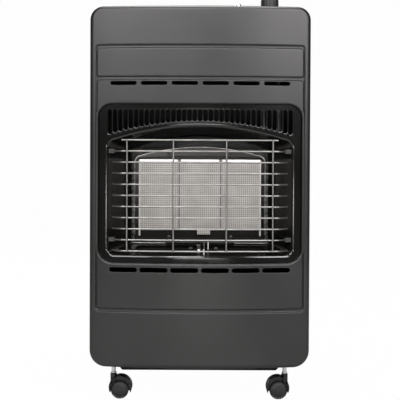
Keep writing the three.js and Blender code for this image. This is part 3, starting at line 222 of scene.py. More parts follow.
@dataclass(frozen=True)
class Paint:
    """Baked paint: a fine peel, a faint cloudiness and a satin or glossy skin."""

    name: str
    dark: Color
    light: Color
    roughness: float
    peel: float = 900.0
    depth: float = 0.00006
    metallic: float = 0.0
    specular: float = 0.5

    @cache
    def make(self) -> bpy.types.Material:
        """Returns the material."""
        nodes = Nodes(self.name)
        cloud = nodes.noise(9, 3)
        nodes.shade(
            Base_Color=nodes.blend(nodes.span(cloud, 0, 1, 0.3, 0.7), self.dark, self.light),
            Roughness=nodes.span(cloud, self.roughness - 0.03, self.roughness + 0.04, 0.3, 0.7),
            Metallic=self.metallic,
            Specular_IOR_Level=self.specular,
        )
        nodes.bump(nodes.noise(self.peel, 2), self.depth)
        return nodes.material


@dataclass(frozen=True)
class BareMetal:
    """Bare or plated metal with fine draw marks along one direction."""

    name: str
    color: Color
    roughness: float
    stretch: tuple[float, float, float] = (1, 1, 1)
    grain: float = 600.0
    depth: float = 0.00003
    stain: float = 0.75

    @cache
    def make(self) -> bpy.types.Material:
        """Returns the material."""
        nodes = Nodes(self.name)
        grain = nodes.noise(self.grain, 3, self.stretch)
        cloud = nodes.noise(25, 4)
        darker = tuple(part * self.stain for part in self.color)
        nodes.shade(
            Base_Color=nodes.blend(nodes.span(cloud, 0, 1, 0.35, 0.65), darker, self.color),
            Metallic=1.0,
            Roughness=nodes.span(grain, self.roughness * 0.8, self.roughness * 1.3, 0.3, 0.7),
        )
        nodes.bump(grain, self.depth)
        return nodes.material


@dataclass(frozen=True)
class SteelWithPaintedLight:
    """Satin sheet steel with painted light: darker below and brighter above and to the left, as if lit from
    the upper left.
    """

    name: str
    black: Color
    bright: Color
    roughness: float
    low: float
    high: float
    reach: float = 0.25

    @cache
    def make(self) -> bpy.types.Material:
        """Returns the material."""
        nodes = Nodes(self.name)
        place = nodes.add("SeparateXYZ", Vector=nodes.place()).outputs
        # Painted light: dark below and light above, and lighter on the left than on the right.
        lit_above = nodes.span(place["Z"], 0, 1, self.low, self.high)
        left = nodes.span(place["X"], 1, 0.35, -self.reach / 2, self.reach / 2)
        satin = nodes.noise(60, 3)
        nodes.shade(
            Base_Color=nodes.blend(nodes.compute("MULTIPLY", lit_above, left), self.black, self.bright),
            Roughness=nodes.span(satin, self.roughness - 0.04, self.roughness + 0.05, 0.3, 0.7),
            Metallic=0.9,
        )
        nodes.bump(nodes.noise(500, 2), 0.00003)
        return nodes.material


@dataclass(frozen=True)
class Plastic:
    """Moulded plastic with a fine spark-eroded grain."""

    name: str
    color: Color
    roughness: float
    grain: float = 1500.0
    depth: float = 0.00008

    @cache
    def make(self) -> bpy.types.Material:
        """Returns the material."""
        nodes = Nodes(self.name)
        cloud = nodes.noise(30, 3)
        worn = tuple(part * 1.25 + 0.004 for part in self.color)
        nodes.shade(
            Base_Color=nodes.blend(nodes.span(cloud, 0, 1, 0.35, 0.7), self.color, worn),
            Roughness=nodes.span(cloud, self.roughness - 0.05, self.roughness + 0.06, 0.3, 0.7),
        )
        nodes.bump(nodes.noise(self.grain, 1), self.depth)
        return nodes.material


@dataclass(frozen=True)
class Gauze:
    """Woven steel gauze stretched over pale ceramic: bright wires over small shaded openings."""

    name: str
    wire: Color
    ceramic: Color
    pitch: float = 3.7 * MM
    shadow: float = 0.42

    @cache
    def make(self) -> bpy.types.Material:
        """Returns the material."""
        nodes = Nodes(self.name)
        place = nodes.add("SeparateXYZ", Vector=nodes.place()).outputs
        turns = [nodes.compute("MULTIPLY", place[axis], 2 * math.pi / self.pitch) for axis in ("X", "Z")]
        waves = [nodes.compute("COSINE", turn) for turn in turns]
        wires = nodes.span(nodes.compute("MAXIMUM", *waves), 0, 1, -0.2, 0.7)
        cloud = nodes.noise(40, 3)
        lit = nodes.blend(nodes.span(cloud, 0, 1, 0.35, 0.65), self.ceramic, self.wire)
        shaded = tuple(part * self.shadow for part in self.ceramic)
        nodes.shade(Base_Color=nodes.blend(wires, shaded, lit), Roughness=0.75)
        nodes.bump(wires, 0.0002, 0.6)
        return nodes.material


Finish = Paint | BareMetal | SteelWithPaintedLight | Plastic | Gauze

PAINT = Paint("charcoal_paint", (0.0075, 0.0079, 0.0071), (0.0105, 0.0109, 0.01), 0.37)
CASING_PAINT = Paint(
    "charcoal_casing", (0.012, 0.0124, 0.0115), (0.0155, 0.016, 0.015), 0.62, specular=0.12,
)
ENAMEL = Paint(
    "black_enamel", (0.003, 0.003, 0.0026), (0.005, 0.005, 0.0045), 0.12, 260, 0.00004, specular=0.6,
)
LINING = replace(ENAMEL, name="oven_enamel", roughness=0.16, specular=0.25)
BLACK_STEEL = Paint(
    "black_steel", (0.02, 0.02, 0.02), (0.032, 0.031, 0.03), 0.4, 700, 0.00005, metallic=0.3,
)
GALVANISED = BareMetal("galvanised_steel", (0.55, 0.56, 0.57), 0.42, grain=120)
WIRE = BareMetal("bright_wire", (0.3, 0.295, 0.28), 0.4, (0.1, 1, 1))
ALUMINIUM = BareMetal("aluminium", (0.6, 0.61, 0.62), 0.42)
BRASS = BareMetal("brass", (0.62, 0.45, 0.2), 0.34)
CHROME = BareMetal("chrome", (0.6, 0.6, 0.59), 0.14, stain=0.9)
# Near white: bright steel strips with a painted highlight from the light on their upper edges.
STRIP = Paint("pale_strip_painted_highlight", (0.86, 0.85, 0.83), (0.94, 0.93, 0.91), 0.42, 500, 0.00002, metallic=0.25)
LEG = Paint("leg_steel", (0.42, 0.415, 0.4), (0.5, 0.495, 0.48), 0.42, 500, 0.00002, metallic=0.25)
SEAL = Plastic("joint_seal", (0.1, 0.094, 0.102), 0.7)
MARKING = Plastic("white_marking", (0.7, 0.7, 0.68), 0.5)
# Near-black heat shield: painted shade, so that the cabinet's inside looks dark through the grille slots.
SHIELD_SHADE_BLACK = Paint("painted_interior_shade", (0.006, 0.006, 0.006), (0.012, 0.012, 0.011), 0.75, 500, 0.00008, specular=0.2)
CERAMIC = Plastic("ceramic", (0.5, 0.48, 0.43), 0.8, 700, 0.0001)
GAUZE = Gauze("ceramic_gauze", (0.375, 0.366, 0.335), (0.305, 0.296, 0.27))
BLACK_PLASTIC = Plastic("black_plastic", (0.006, 0.006, 0.006), 0.36)
GREY_PLASTIC = Plastic("grey_plastic", (0.004, 0.004, 0.0043), 0.55)
# The bezel's painted light: darker below, brighter towards its top and its left.
BEZEL = SteelWithPaintedLight("steel_with_painted_light", (0.008, 0.0075, 0.007), (0.062, 0.06, 0.056), 0.36, 330 * MM, 470 * MM)
# Also used on the reflector seams, where its lightness is a painted highlight.
SATIN = BareMetal("aluminised_steel", (0.4, 0.39, 0.37), 0.36, stain=0.6)


# ---- Mesh work shared by the sub-assemblies ----
Loop = list[bmesh.types.BMEdge]


def quarter(steps: int) -> list[float]:
    """Angles from 0 to a right angle in equal steps."""
    return [i / steps * math.pi / 2 for i in range(steps + 1)]


def mirrored(point: Iterable[float], side: int = -1) -> Vector:
    """A point's mirror image in X, or the point itself where side is 1."""
    x, y, z = point
    return Vector((side * x, y, z))


def only_verts(geom: Iterable[object]) -> list[bmesh.types.BMVert]:
    """The vertices in an operator's result."""
    return [item for item in geom if isinstance(item, bmesh.types.BMVert)]


def in_mm(*points: tuple[float, float]) -> list[tuple[float, float]]:
    """A profile's radii and heights in metres, from millimetres."""
    return [(radius * MM, height * MM) for radius, height in points]


@dataclass(frozen=True)
class Outline:
    """A rounded rectangle in X and Z whose top edge may be an arch."""

    half: float
    low: float
    high: float
    low_radius: float
    high_radius: float
    rise: float = 0.0
    centre: float = 0.0

    def inset(self, by: float) -> Outline:
        """The same outline drawn in on all sides."""
        return Outline(
            self.half - by,
            self.low + by,
            self.high - by,
            max(self.low_radius - by, LEAST_RADIUS),
            max(self.high_radius - by, LEAST_RADIUS),
            self.rise,
            self.centre,
        )

    def outer_roll(self, radius: float, steps: int = 6) -> list[Ring]:
        """A rolled outer edge, from this outline in to the face."""
        return [
            (self.inset(radius * (1 - math.cos(a))), radius * (1 - math.sin(a))) for a in quarter(steps)
        ]

    def hole_roll(self, radius: float, steps: int = 6) -> list[Ring]:
        """A hole's rolled edge, from the face in to this outline."""
        return [
            (self.inset(radius * (math.cos(a) - 1)), radius * (1 - math.sin(a)))
            for a in reversed(quarter(steps))
        ]


Ring = tuple[Outline, float]


class Shape:
    """A mesh that bmesh operators build up, ready to be made a named piece."""

    def __init__(self) -> None:
        """Starts empty."""
        self.bm = bmesh.new()

    def outline(self, ring: Outline, y: float, segments: int = 10) -> Loop:
        """Lays an outline at a depth y.

        Args:
            ring: The outline.
            y: Its depth.
            segments: Steps round each corner.

        Returns:
            The edges of the loop, without a face.
        """
        top = ring.high - ring.rise
        corners = [(-1, ring.low), (1, ring.low), (1, top), (-1, top)]
        verts = [self.bm.verts.new((ring.centre + side * ring.half, y, z)) for side, z in corners]
        known = set(self.bm.faces)
        self.bm.faces.new(verts)
        for pair, radius in ((verts[:2], ring.low_radius), (verts[2:], ring.high_radius)):
            bmesh.ops.bevel(
                self.bm, geom=pair, offset=radius, offset_type="OFFSET", segments=segments,
                profile=0.5, affect="VERTICES", material=-1, clamp_overlap=True,
            )
        face = next(face for face in self.bm.faces if face not in known)
        edges = list(face.edges)
        bmesh.ops.delete(self.bm, geom=[face], context="FACES_ONLY")
        if ring.rise:
            edges = self.arch(edges, ring, top)
        return edges

    def arch(self, edges: Loop, ring: Outline, top: float) -> Loop:
        """Bends the straight top edge of a loop into an arch.

        Args:
            edges: The loop.
            ring: Its outline, with the arch's rise.
            top: The height of the straight edge.

        Returns:
            The loop's edges, the top one cut into short pieces.
        """
        level = [e for e in edges if all(abs(v.co.z - top) < SNAP for v in e.verts)]
        cut = bmesh.ops.subdivide_edges(self.bm, edges=level, cuts=ARCH_CUTS)
        fresh = set(only_verts(cut["geom_inner"]))
        reach = ring.half - ring.high_radius
        for vert in fresh:
            vert.co.z += ring.rise * (1 - ((vert.co.x - ring.centre) / reach) ** 2)
        kept = [e for e in edges if e.is_valid]
        inner = {e for v in fresh for e in v.link_edges}
        return list({*kept, *inner})

    def loft(self, rings: Iterable[tuple[Outline, float]], segments: int = 10) -> tuple[Loop, Loop]:
        """Joins outlines at given depths by walls.

        Args:
            rings: Each outline with its depth.
            segments: Steps round each corner.

        Returns:
            The first loop and the last.
        """
        loops = [self.outline(ring, y, segments) for ring, y in rings]
        for first, second in zip(loops, loops[1:]):
            bmesh.ops.bridge_loops(self.bm, edges=first + second)
        return loops[0], loops[-1]

    def fill(self, *loops: Loop) -> None:
        """Fills the flat region between loops."""
        edges = [edge for loop in loops for edge in loop]
        bmesh.ops.triangle_fill(self.bm, edges=edges, use_beauty=True, use_dissolve=False)

    def cut_at(self, places: Iterable[float]) -> None:
        """Cuts the mesh across X, so that it can bend there."""
        for x in places:
            geom = [*self.bm.verts, *self.bm.edges, *self.bm.faces]
            bmesh.ops.bisect_plane(self.bm, geom=geom, dist=SNAP, plane_co=(x, 0, 0), plane_no=(1, 0, 0))

    def bend(self, rigid_depth: float = 1.0) -> None:
        """Lays a flat mesh, modelled with its face at depth 0, on the crowned front.

        Args:
            rigid_depth: Depth from which the mesh stays flat, such as a flange's straight edge.
        """
        for vert in self.bm.verts:
            fallen = crown(vert.co.x) if vert.co.y < rigid_depth else 0.0
            vert.co.y += FRONT_Y + fallen

    def line(self, points: Iterable[Sequence[float]]) -> tuple[list[bmesh.types.BMVert], Loop]:
        """Lays an open line through points.

        Returns:
            Its vertices and its edges.
        """
        verts = [self.bm.verts.new(point) for point in points]
        return verts, [self.bm.edges.new(pair) for pair in zip(verts, verts[1:])]

    def strip(self, points: Iterable[Sequence[float]], run: Sequence[float]) -> None:
        """Runs an open line along a vector, as an open sheet."""
        _, edges = self.line(points)
        made = bmesh.ops.extrude_edge_only(self.bm, edges=edges)["geom"]
        bmesh.ops.translate(self.bm, verts=only_verts(made), vec=run)

    def turn_out(self, away: Sequence[float]) -> None:
        """Points an open sheet's faces the way that most of it looks."""
        faces = list(self.bm.faces)
        bmesh.ops.recalc_face_normals(self.bm, faces=faces)
        if sum(face.normal.dot(Vector(away)) * face.calc_area() for face in faces) < 0:
            bmesh.ops.reverse_faces(self.bm, faces=faces)

    def box(self, low: Sequence[float], high: Sequence[float], bevel: float) -> None:
        """Adds a box with rounded edges.

        Args:
            low: Its lowest corner.
            high: Its highest corner.
            bevel: The width of its bevels.
        """
        made = bmesh.ops.create_cube(self.bm, size=1)["verts"]
        bmesh.ops.scale(self.bm, verts=made, vec=Vector(high) - Vector(low))
        bmesh.ops.translate(self.bm, verts=made, vec=(Vector(high) + Vector(low)) / 2)
        edges = list({edge for vert in made for edge in vert.link_edges})
        bmesh.ops.bevel(
            self.bm, geom=edges, offset=bevel, offset_type="OFFSET", segments=2,
            profile=0.5, affect="EDGES", material=-1, clamp_overlap=True,
        )

    def turn(
        self, profile: Sequence[tuple[float, float]], place: Sequence[float], axis: Axis, steps: int,
    ) -> list[bmesh.types.BMVert]:
        """Turns a profile about an axis through a point.

        Args:
            profile: Radius and height of each point; one with radius 0 closes the end.
            place: The point that the profile's heights start from.
            axis: The axis.
            steps: Faces round the piece.

        Returns:
            The new vertices.
        """
        before = set(self.bm.verts)
        verts, edges = self.line((radius, 0, height) for radius, height in profile)
        bmesh.ops.spin(
            self.bm, geom=verts + edges, cent=(0, 0, 0), axis=(0, 0, 1), angle=2 * math.pi,
            steps=steps, use_merge=True,
        )
        made = [v for v in self.bm.verts if v not in before]
        bmesh.ops.remove_doubles(self.bm, verts=made, dist=SNAP)
        made = [v for v in self.bm.verts if v not in before]
        turn = Matrix.Translation(place) @ axis.value
        bmesh.ops.transform(self.bm, matrix=turn, verts=made)
        faces = list({face for vert in made for face in vert.link_faces})
        bmesh.ops.recalc_face_normals(self.bm, faces=faces)
        return made

    def sweep(self, path: Sequence[Vector], radius: float, sides: int = 12) -> None:
        """Runs a round wire along a path, mitred at its corners and closed at its ends.

        Args:
            path: The points of its middle line.
            radius: The wire's radius.
            sides: Faces round the wire.
        """
        along = (path[1] - path[0]).normalized()
        turn = Matrix.Translation(path[0]) @ along.to_track_quat("Z", "Y").to_matrix().to_4x4()
        ring = bmesh.ops.create_circle(
            self.bm, cap_ends=False, radius=radius, segments=sides, matrix=turn,
        )["verts"]
        first, faces = ring, set()
        for i, point in enumerate(path[1:], 1):
            after = (path[i + 1] - point).normalized() if i + 1 < len(path) else along
            mitre = (along + after).normalized()
            edges = [e for e in {e for v in ring for e in v.link_edges} if all(v in ring for v in e.verts)]
            made = bmesh.ops.extrude_edge_only(self.bm, edges=edges)["geom"]
            ring = only_verts(made)
            faces.update(g for g in made if isinstance(g, bmesh.types.BMFace))
            for vert in ring:
                reach = (point - vert.co).dot(mitre) / along.dot(mitre)
                vert.co += along * reach
            along = after
        for end in (first, ring):
            faces.update(bmesh.ops.contextual_create(self.bm, geom=end)["faces"])
        bmesh.ops.recalc_face_normals(self.bm, faces=list(faces))

    def piece(self, name: str, body: str, slot: str, finish: Finish) -> bpy.types.Object:
        """Makes the shape a smooth-shaded piece that rides on a body.

        Args:
            name: The piece's name.
            body: The CAD body that it moves with.
            slot: Not used.
            finish: What its surface is.

        Returns:
            The new object.
        """
        mesh = bpy.data.meshes.new(name)
        self.bm.to_mesh(mesh)
        self.bm.free()
        mesh.materials.append(finish.make())
        mesh.shade_smooth()
        mesh.set_sharp_from_angle(angle=SMOOTH_ANGLE)
        made = bpy.data.objects.new(name, mesh)
        bpy.context.scene.collection.objects.link(made)
        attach(made, body)
        log.info("%s: %d faces on %s", name, len(mesh.polygons), body)
        return made


def thicken(piece: bpy.types.Object, sheet: float) -> None:
    """Gives an open sheet its thickness, inwards from the faces' outer side."""
    solid = piece.modifiers.new("sheet", "SOLIDIFY")
    solid.thickness = sheet
    solid.offset = -1
    even = piece.modifiers.new("even shading", "WEIGHTED_NORMAL")
    even.keep_sharp = True
    even.weight = 90


def stations(half: float, step: float = 8 * MM) -> list[float]:
    """Places along X at which a crowned piece bends."""
    count = int(half // step)
    return [i * step for i in range(-count, count + 1)]


# ---- Cabinet ----
def eased(width: float, depth: float, steps: int = 6) -> list[tuple[float, float]]:
    """The soft wall of a pressing, as insets with their depths.

    Args:
        width: How far the wall runs in.
        depth: How far it sinks.
        steps: Rings along it.

    Returns:
        Each ring's inset with its depth.
    """
    shares = [i / steps for i in range(steps + 1)]
    return [(width * t, depth * t * t * (3 - 2 * t)) for t in shares]


@dataclass
class FrontPanel:
    """The crowned, pressed steel front with its channels, air slots and window."""

    outline: Outline = Outline(HALF_WIDTH, 72 * MM, 742 * MM, 30 * MM, 24 * MM)
    window: Outline = Outline(190 * MM, 266 * MM, 561 * MM, 29 * MM, 27 * MM)
    sheet: float = 1.2 * MM
    edge_roll: float = 7 * MM
    lip_roll: float = 3 * MM
    lip_depth: float = 6 * MM
    flange_depth: float = 50 * MM
    rigid_depth: float = 20 * MM
    channel_depth: float = 2.5 * MM
    channel_slope: float = 2.4 * MM
    frame_slope: float = 3.4 * MM
    support: float = 1 * MM
    lower_support: float = 0.3 * MM
    frame: Outline = Outline(195.3 * MM, 174 * MM, 671.5 * MM, 9 * MM, 8 * MM)
    lower_pad: Outline = Outline(191.2 * MM, 182 * MM, 605 * MM, 4 * MM, 4 * MM)
    upper_pad: Outline = Outline(191.2 * MM, 611.5 * MM, 664 * MM, 4 * MM, 4 * MM)
    slot_count: int = 6
    slot_pitch: float = 56.7 * MM
    slot_roll: float = 0.7 * MM
    upper_slot: tuple[float, float, float] = (48 * MM, 7 * MM, 599 * MM)
    lower_slot: tuple[float, float, float] = (51.5 * MM, 8.8 * MM, 254 * MM)

    def slots(self, length: float, height: float, z: float) -> list[Outline]:
        """A row of air slots with round ends.

        Args:
            length: Each slot's length.
            height: Its height.
            z: The height of its middle.

        Returns:
            The slots' outlines, from left to right.
        """
        middle = (self.slot_count - 1) / 2
        slot = Outline(length / 2, z - height / 2, z + height / 2, height * 0.49, height * 0.49)
        return [replace(slot, centre=(i - middle) * self.slot_pitch) for i in range(self.slot_count)]

    def build(self) -> None:
        """Builds the panel and puts it in place of its CAD solid."""
        shape = Shape()
        rim = [(self.outline, self.flange_depth), *self.outline.outer_roll(self.edge_roll)]
        _, face = shape.loft([*rim, (self.outline.inset(self.edge_roll + self.support), 0)])
        outer = eased(self.frame_slope, self.channel_depth)
        rings = [(self.frame.inset(by), depth) for by, depth in [(-self.support, 0), *outer]]
        top, bottom = shape.loft(rings)
        shape.fill(face, top)
        wall = eased(self.channel_slope, self.channel_depth)
        half = self.channel_slope / 2
        pads = [
            shape.loft((pad.inset(half - by), depth) for by, depth in [(-margin, 0), *wall])
            for pad, margin in ((self.lower_pad, self.lower_support), (self.upper_pad, self.support * 2))
        ]
        shape.fill(bottom, *[foot for _, foot in pads])
        lip = [*self.window.hole_roll(self.lip_roll), (self.window, self.lip_depth)]
        holes = [shape.loft(lip)[0]]
        for slot in self.slots(*self.upper_slot) + self.slots(*self.lower_slot):
            holes.append(shape.loft(slot.hole_roll(self.slot_roll, 3), 8)[0])
        shape.fill(pads[0][0], *holes)
        shape.fill(pads[1][0])
        shape.cut_at(stations(HALF_WIDTH - 1 * MM))
        shape.bend(self.rigid_depth)
        shape.turn_out((0, -1, 0))
        panel = shape.piece("front_panel_pressing", "cabinet", "charcoal_paint", PAINT)
        thicken(panel, self.sheet)
        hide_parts("front_panel")


@dataclass
class Casing:
    """The top cover of the sheet-metal body behind the front."""

    half: float = 203.5 * MM
    top: float = 740.5 * MM
    front: float = -179 * MM
    back: float = 190 * MM
    sheet: float = 1 * MM
    top_radius: float = 22.5 * MM
    skirt_bottom: float = 700 * MM
    flange: float = 9 * MM

    def top_cover(self) -> None:
        """The top cover, with round shoulders."""
        shape = Shape()
        radius = self.top_radius
        x, z = self.half - radius, self.top - radius
        shoulder = [(x + radius * math.cos(a), z + radius * math.sin(a)) for a in quarter(12)]
        right = [Vector((u, self.front, v)) for u, v in [(self.half, self.skirt_bottom), *shoulder]]
        shape.strip(right + [mirrored(point) for point in reversed(right)], (0, self.back - self.front, 0))
        shape.turn_out((0, 0, 1))
        cover = shape.piece("top_cover_sheet", "cabinet", "charcoal_paint", CASING_PAINT)
        thicken(cover, self.sheet)
        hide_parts("top_cover")

    def rear_flange(self) -> None:
        """The top cover's turned-down back edge."""
        shape = Shape()
        reach = self.half - self.top_radius
        low = (-reach, self.back - self.sheet, self.top - self.flange)
        shape.box(low, (reach, self.back, self.top - self.sheet / 2), bevel=0.2 * MM)
        shape.piece("top_cover_flange", "cabinet", "charcoal_paint", CASING_PAINT)

    def build(self) -> None:
        """Builds the cover and its flange."""
        self.top_cover()
        self.rear_flange()


# ---- Radiant window ----
MOUTH = Outline(171 * MM, 281 * MM, 519 * MM, 11 * MM, 16 * MM, 24 * MM)
BACK_WALL = Outline(131 * MM, 297 * MM, 502 * MM, 5.5 * MM, 8 * MM, 22 * MM)
BACK_WALL_Y = -128 * MM


@dataclass
class Surround:
    """The glossy frame round the burner, with the slotted grille above its arched mouth."""

    outline: Outline = Outline(196 * MM, 257 * MM, 570 * MM, 30 * MM, 30 * MM)
    face: float = 6.3 * MM
    flange: float = 8 * MM
    sheet: float = 0.7 * MM
    edge_roll: float = 2.5 * MM
    lip: float = 6 * MM
    lip_depth: float = 2.6 * MM
    slot_roll: float = 1.6 * MM
    slot_wall: float = 4 * MM
    slots: int = 35
    pitch: float = 9.88 * MM
    slot_width: float = 6.3 * MM
    slot_top: float = 551 * MM
    foot_end: float = 505 * MM
    foot_middle: float = 529 * MM

    def grille(self) -> list[Outline]:
        """The upright slots, whose feet follow the arch."""
        middle = (self.slots - 1) / 2
        half = self.slot_width / 2
        made = []
        for i in range(self.slots):
            share = (i - middle) / middle
            foot = self.foot_middle - (self.foot_middle - self.foot_end) * share**2
            slot = Outline(half, foot, self.slot_top, half * 0.98, half * 0.98)
            made.append(replace(slot, centre=(i - middle) * self.pitch))
        return made

    def build(self) -> None:
        """Builds the surround and puts it in place of its CAD solid."""
        shape = Shape()
        _, face = shape.loft([(self.outline, self.flange), *self.outline.outer_roll(self.edge_roll, 4)])
        flat = self.lip_depth / self.lip
        mouth, _ = shape.loft((ring, depth * flat) for ring, depth in MOUTH.hole_roll(self.lip, 7))
        holes = [mouth]
        for slot in self.grille():
            holes.append(shape.loft([*slot.hole_roll(self.slot_roll, 4), (slot, self.slot_wall)], 5)[0])
        shape.fill(face, *holes)
        bmesh.ops.translate(shape.bm, verts=shape.bm.verts, vec=(0, self.face, 0))
        shape.cut_at(stations(self.outline.half - 2 * MM))
        shape.bend()
        shape.turn_out((0, -1, 0))
        made = shape.piece("surround_pressing", "cabinet", "black_enamel", ENAMEL)
        thicken(made, self.sheet)
        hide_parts("burner_surround")


@dataclass
class Reflector:
    """The flared enamelled box behind the mouth, open where the plaques and the pilot stand."""

    sheet: float = 0.8 * MM
    rim: float = 9 * MM
    mouth_depth: float = 8.8 * MM
    mouth_round: float = 1 * MM
    back_round: float = 2 * MM
    rigid_depth: float = 40 * MM
    hole: Outline = Outline(116.9 * MM, 322.2 * MM, 457.8 * MM, 1 * MM, 1 * MM)

    def build(self) -> None:
        """Builds the reflector and puts it in place of its CAD solid."""
        shape = Shape()
        back = BACK_WALL_Y - FRONT_Y
        rings = (
            (MOUTH.inset(-self.rim), self.mouth_depth),
            (MOUTH.inset(-self.mouth_round), self.mouth_depth),
            (MOUTH, self.mouth_depth + self.mouth_round),
            (BACK_WALL.inset(-self.back_round), back - self.back_round),
            (BACK_WALL, back),
        )
        _, wall = shape.loft(rings)
        shape.fill(wall, shape.outline(self.hole, back, 2))
        shape.cut_at(stations(MOUTH.half, 12 * MM))
        shape.bend(self.rigid_depth)
        shape.turn_out((0, -1, 0))
        made = shape.piece("reflector_lining", "cabinet", "black_enamel", LINING)
        thicken(made, self.sheet)
        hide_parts("reflector_box")


@dataclass
class Seams:
    """The folded seams where the reflector's floor meets its side walls and back wall, in light metal: a
    painted highlight along the folds.
    """

    radius: float = 0.9 * MM
    back_reach: float = 66 * MM
    back_lift: float = 0.2 * MM
    corner: float = 1 * MM
    mouth_inset: tuple[float, float, float] = (3 * MM, 12 * MM, 2.5 * MM)

    def build(self) -> None:
        """Builds the four seams on the reflector's lower corners."""
        shape = Shape()
        y, foot = BACK_WALL_Y - self.radius, BACK_WALL.low + self.back_lift
        aside, behind, above = self.mouth_inset
        x = BACK_WALL.half - self.corner
        rising = (
            (x, y, BACK_WALL.low + self.corner),
            (MOUTH.half - aside, FRONT_Y + crown(MOUTH.half) + behind, MOUTH.low + above),
        )
        level = ((self.back_reach, y, foot), (x, y, foot))
        for side in (-1, 1):
            for path in (rising, level):
                shape.sweep([mirrored(point, side) for point in path], self.radius)
        # Light satin metal on the black enamel folds: a painted highlight that shows them as bright lines.
        shape.piece("reflector_seams_painted_highlight", "cabinet", "black_enamel", SATIN)


@dataclass
class WireGuard:
    """The welded guard: eleven bowed wires behind four uprights, hooked to clips at its ends."""

    wire: float = 3 * MM
    rows: int = 11
    top: float = 494.2 * MM
    pitch: float = 20.56 * MM
    half: float = 163 * MM
    top_half: float = 145 * MM
    bend_at: float = 146 * MM
    bend_reach: float = 3 * MM
    steps: int = 12
    uprights: tuple[float, ...] = (-135 * MM, -49 * MM, 49 * MM, 135 * MM)
    front: float = -208.5 * MM
    bow: float = 8 * MM
    end: float = -186.5 * MM
    sink: float = 0.5 * MM

    def on_bow(self, x: float, z: float) -> Vector:
        """A point of a level wire's middle line."""
        return Vector((x, self.front + self.bow * (x / self.bend_at) ** 2, z))

    def level_wire(self, row: int) -> list[Vector]:
        """The middle line of a level wire; the top one has no hooks at its ends."""
        z = self.top - row * self.pitch
        reach = self.bend_at - self.bend_reach if row else self.top_half
        path = [self.on_bow(reach * i / self.steps, z) for i in range(-self.steps, self.steps + 1)]
        if not row:
            return path
        knee, tip = self.on_bow(self.bend_at, z), Vector((self.half, self.end, z))
        after = knee + (tip - knee).normalized() * self.bend_reach
        bend = [path[-1].lerp(knee, t).lerp(knee.lerp(after, t), t) for t in (0.25, 0.5, 0.75)]
        side = [*bend, after, tip]
        return [mirrored(point) for point in reversed(side)] + path + side

    def build(self) -> None:
        """Builds the guard and puts it in place of its CAD solid."""
        shape = Shape()
        radius = self.wire / 2
        for row in range(self.rows):
            shape.sweep(self.level_wire(row), radius)
        back = Vector((0, self.sink - self.wire, 0))
        for x in self.uprights:
            heights = (self.top - (self.rows - 1) * self.pitch - radius, self.top + radius)
            shape.sweep([self.on_bow(x, z) + back for z in heights], radius)
        guard = shape.piece("guard_wires", "cabinet", "bright_wire", WIRE)
        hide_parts("wire_guard")


# ---- Burner ----
PAN_HEAD = in_mm(
    (0, 0.9), (0.8, 0.9), (0.8, 2.2), (2.4, 2), (3.4, 1.2), (3.7, 0.3), (3.7, 0), (0, 0),
)


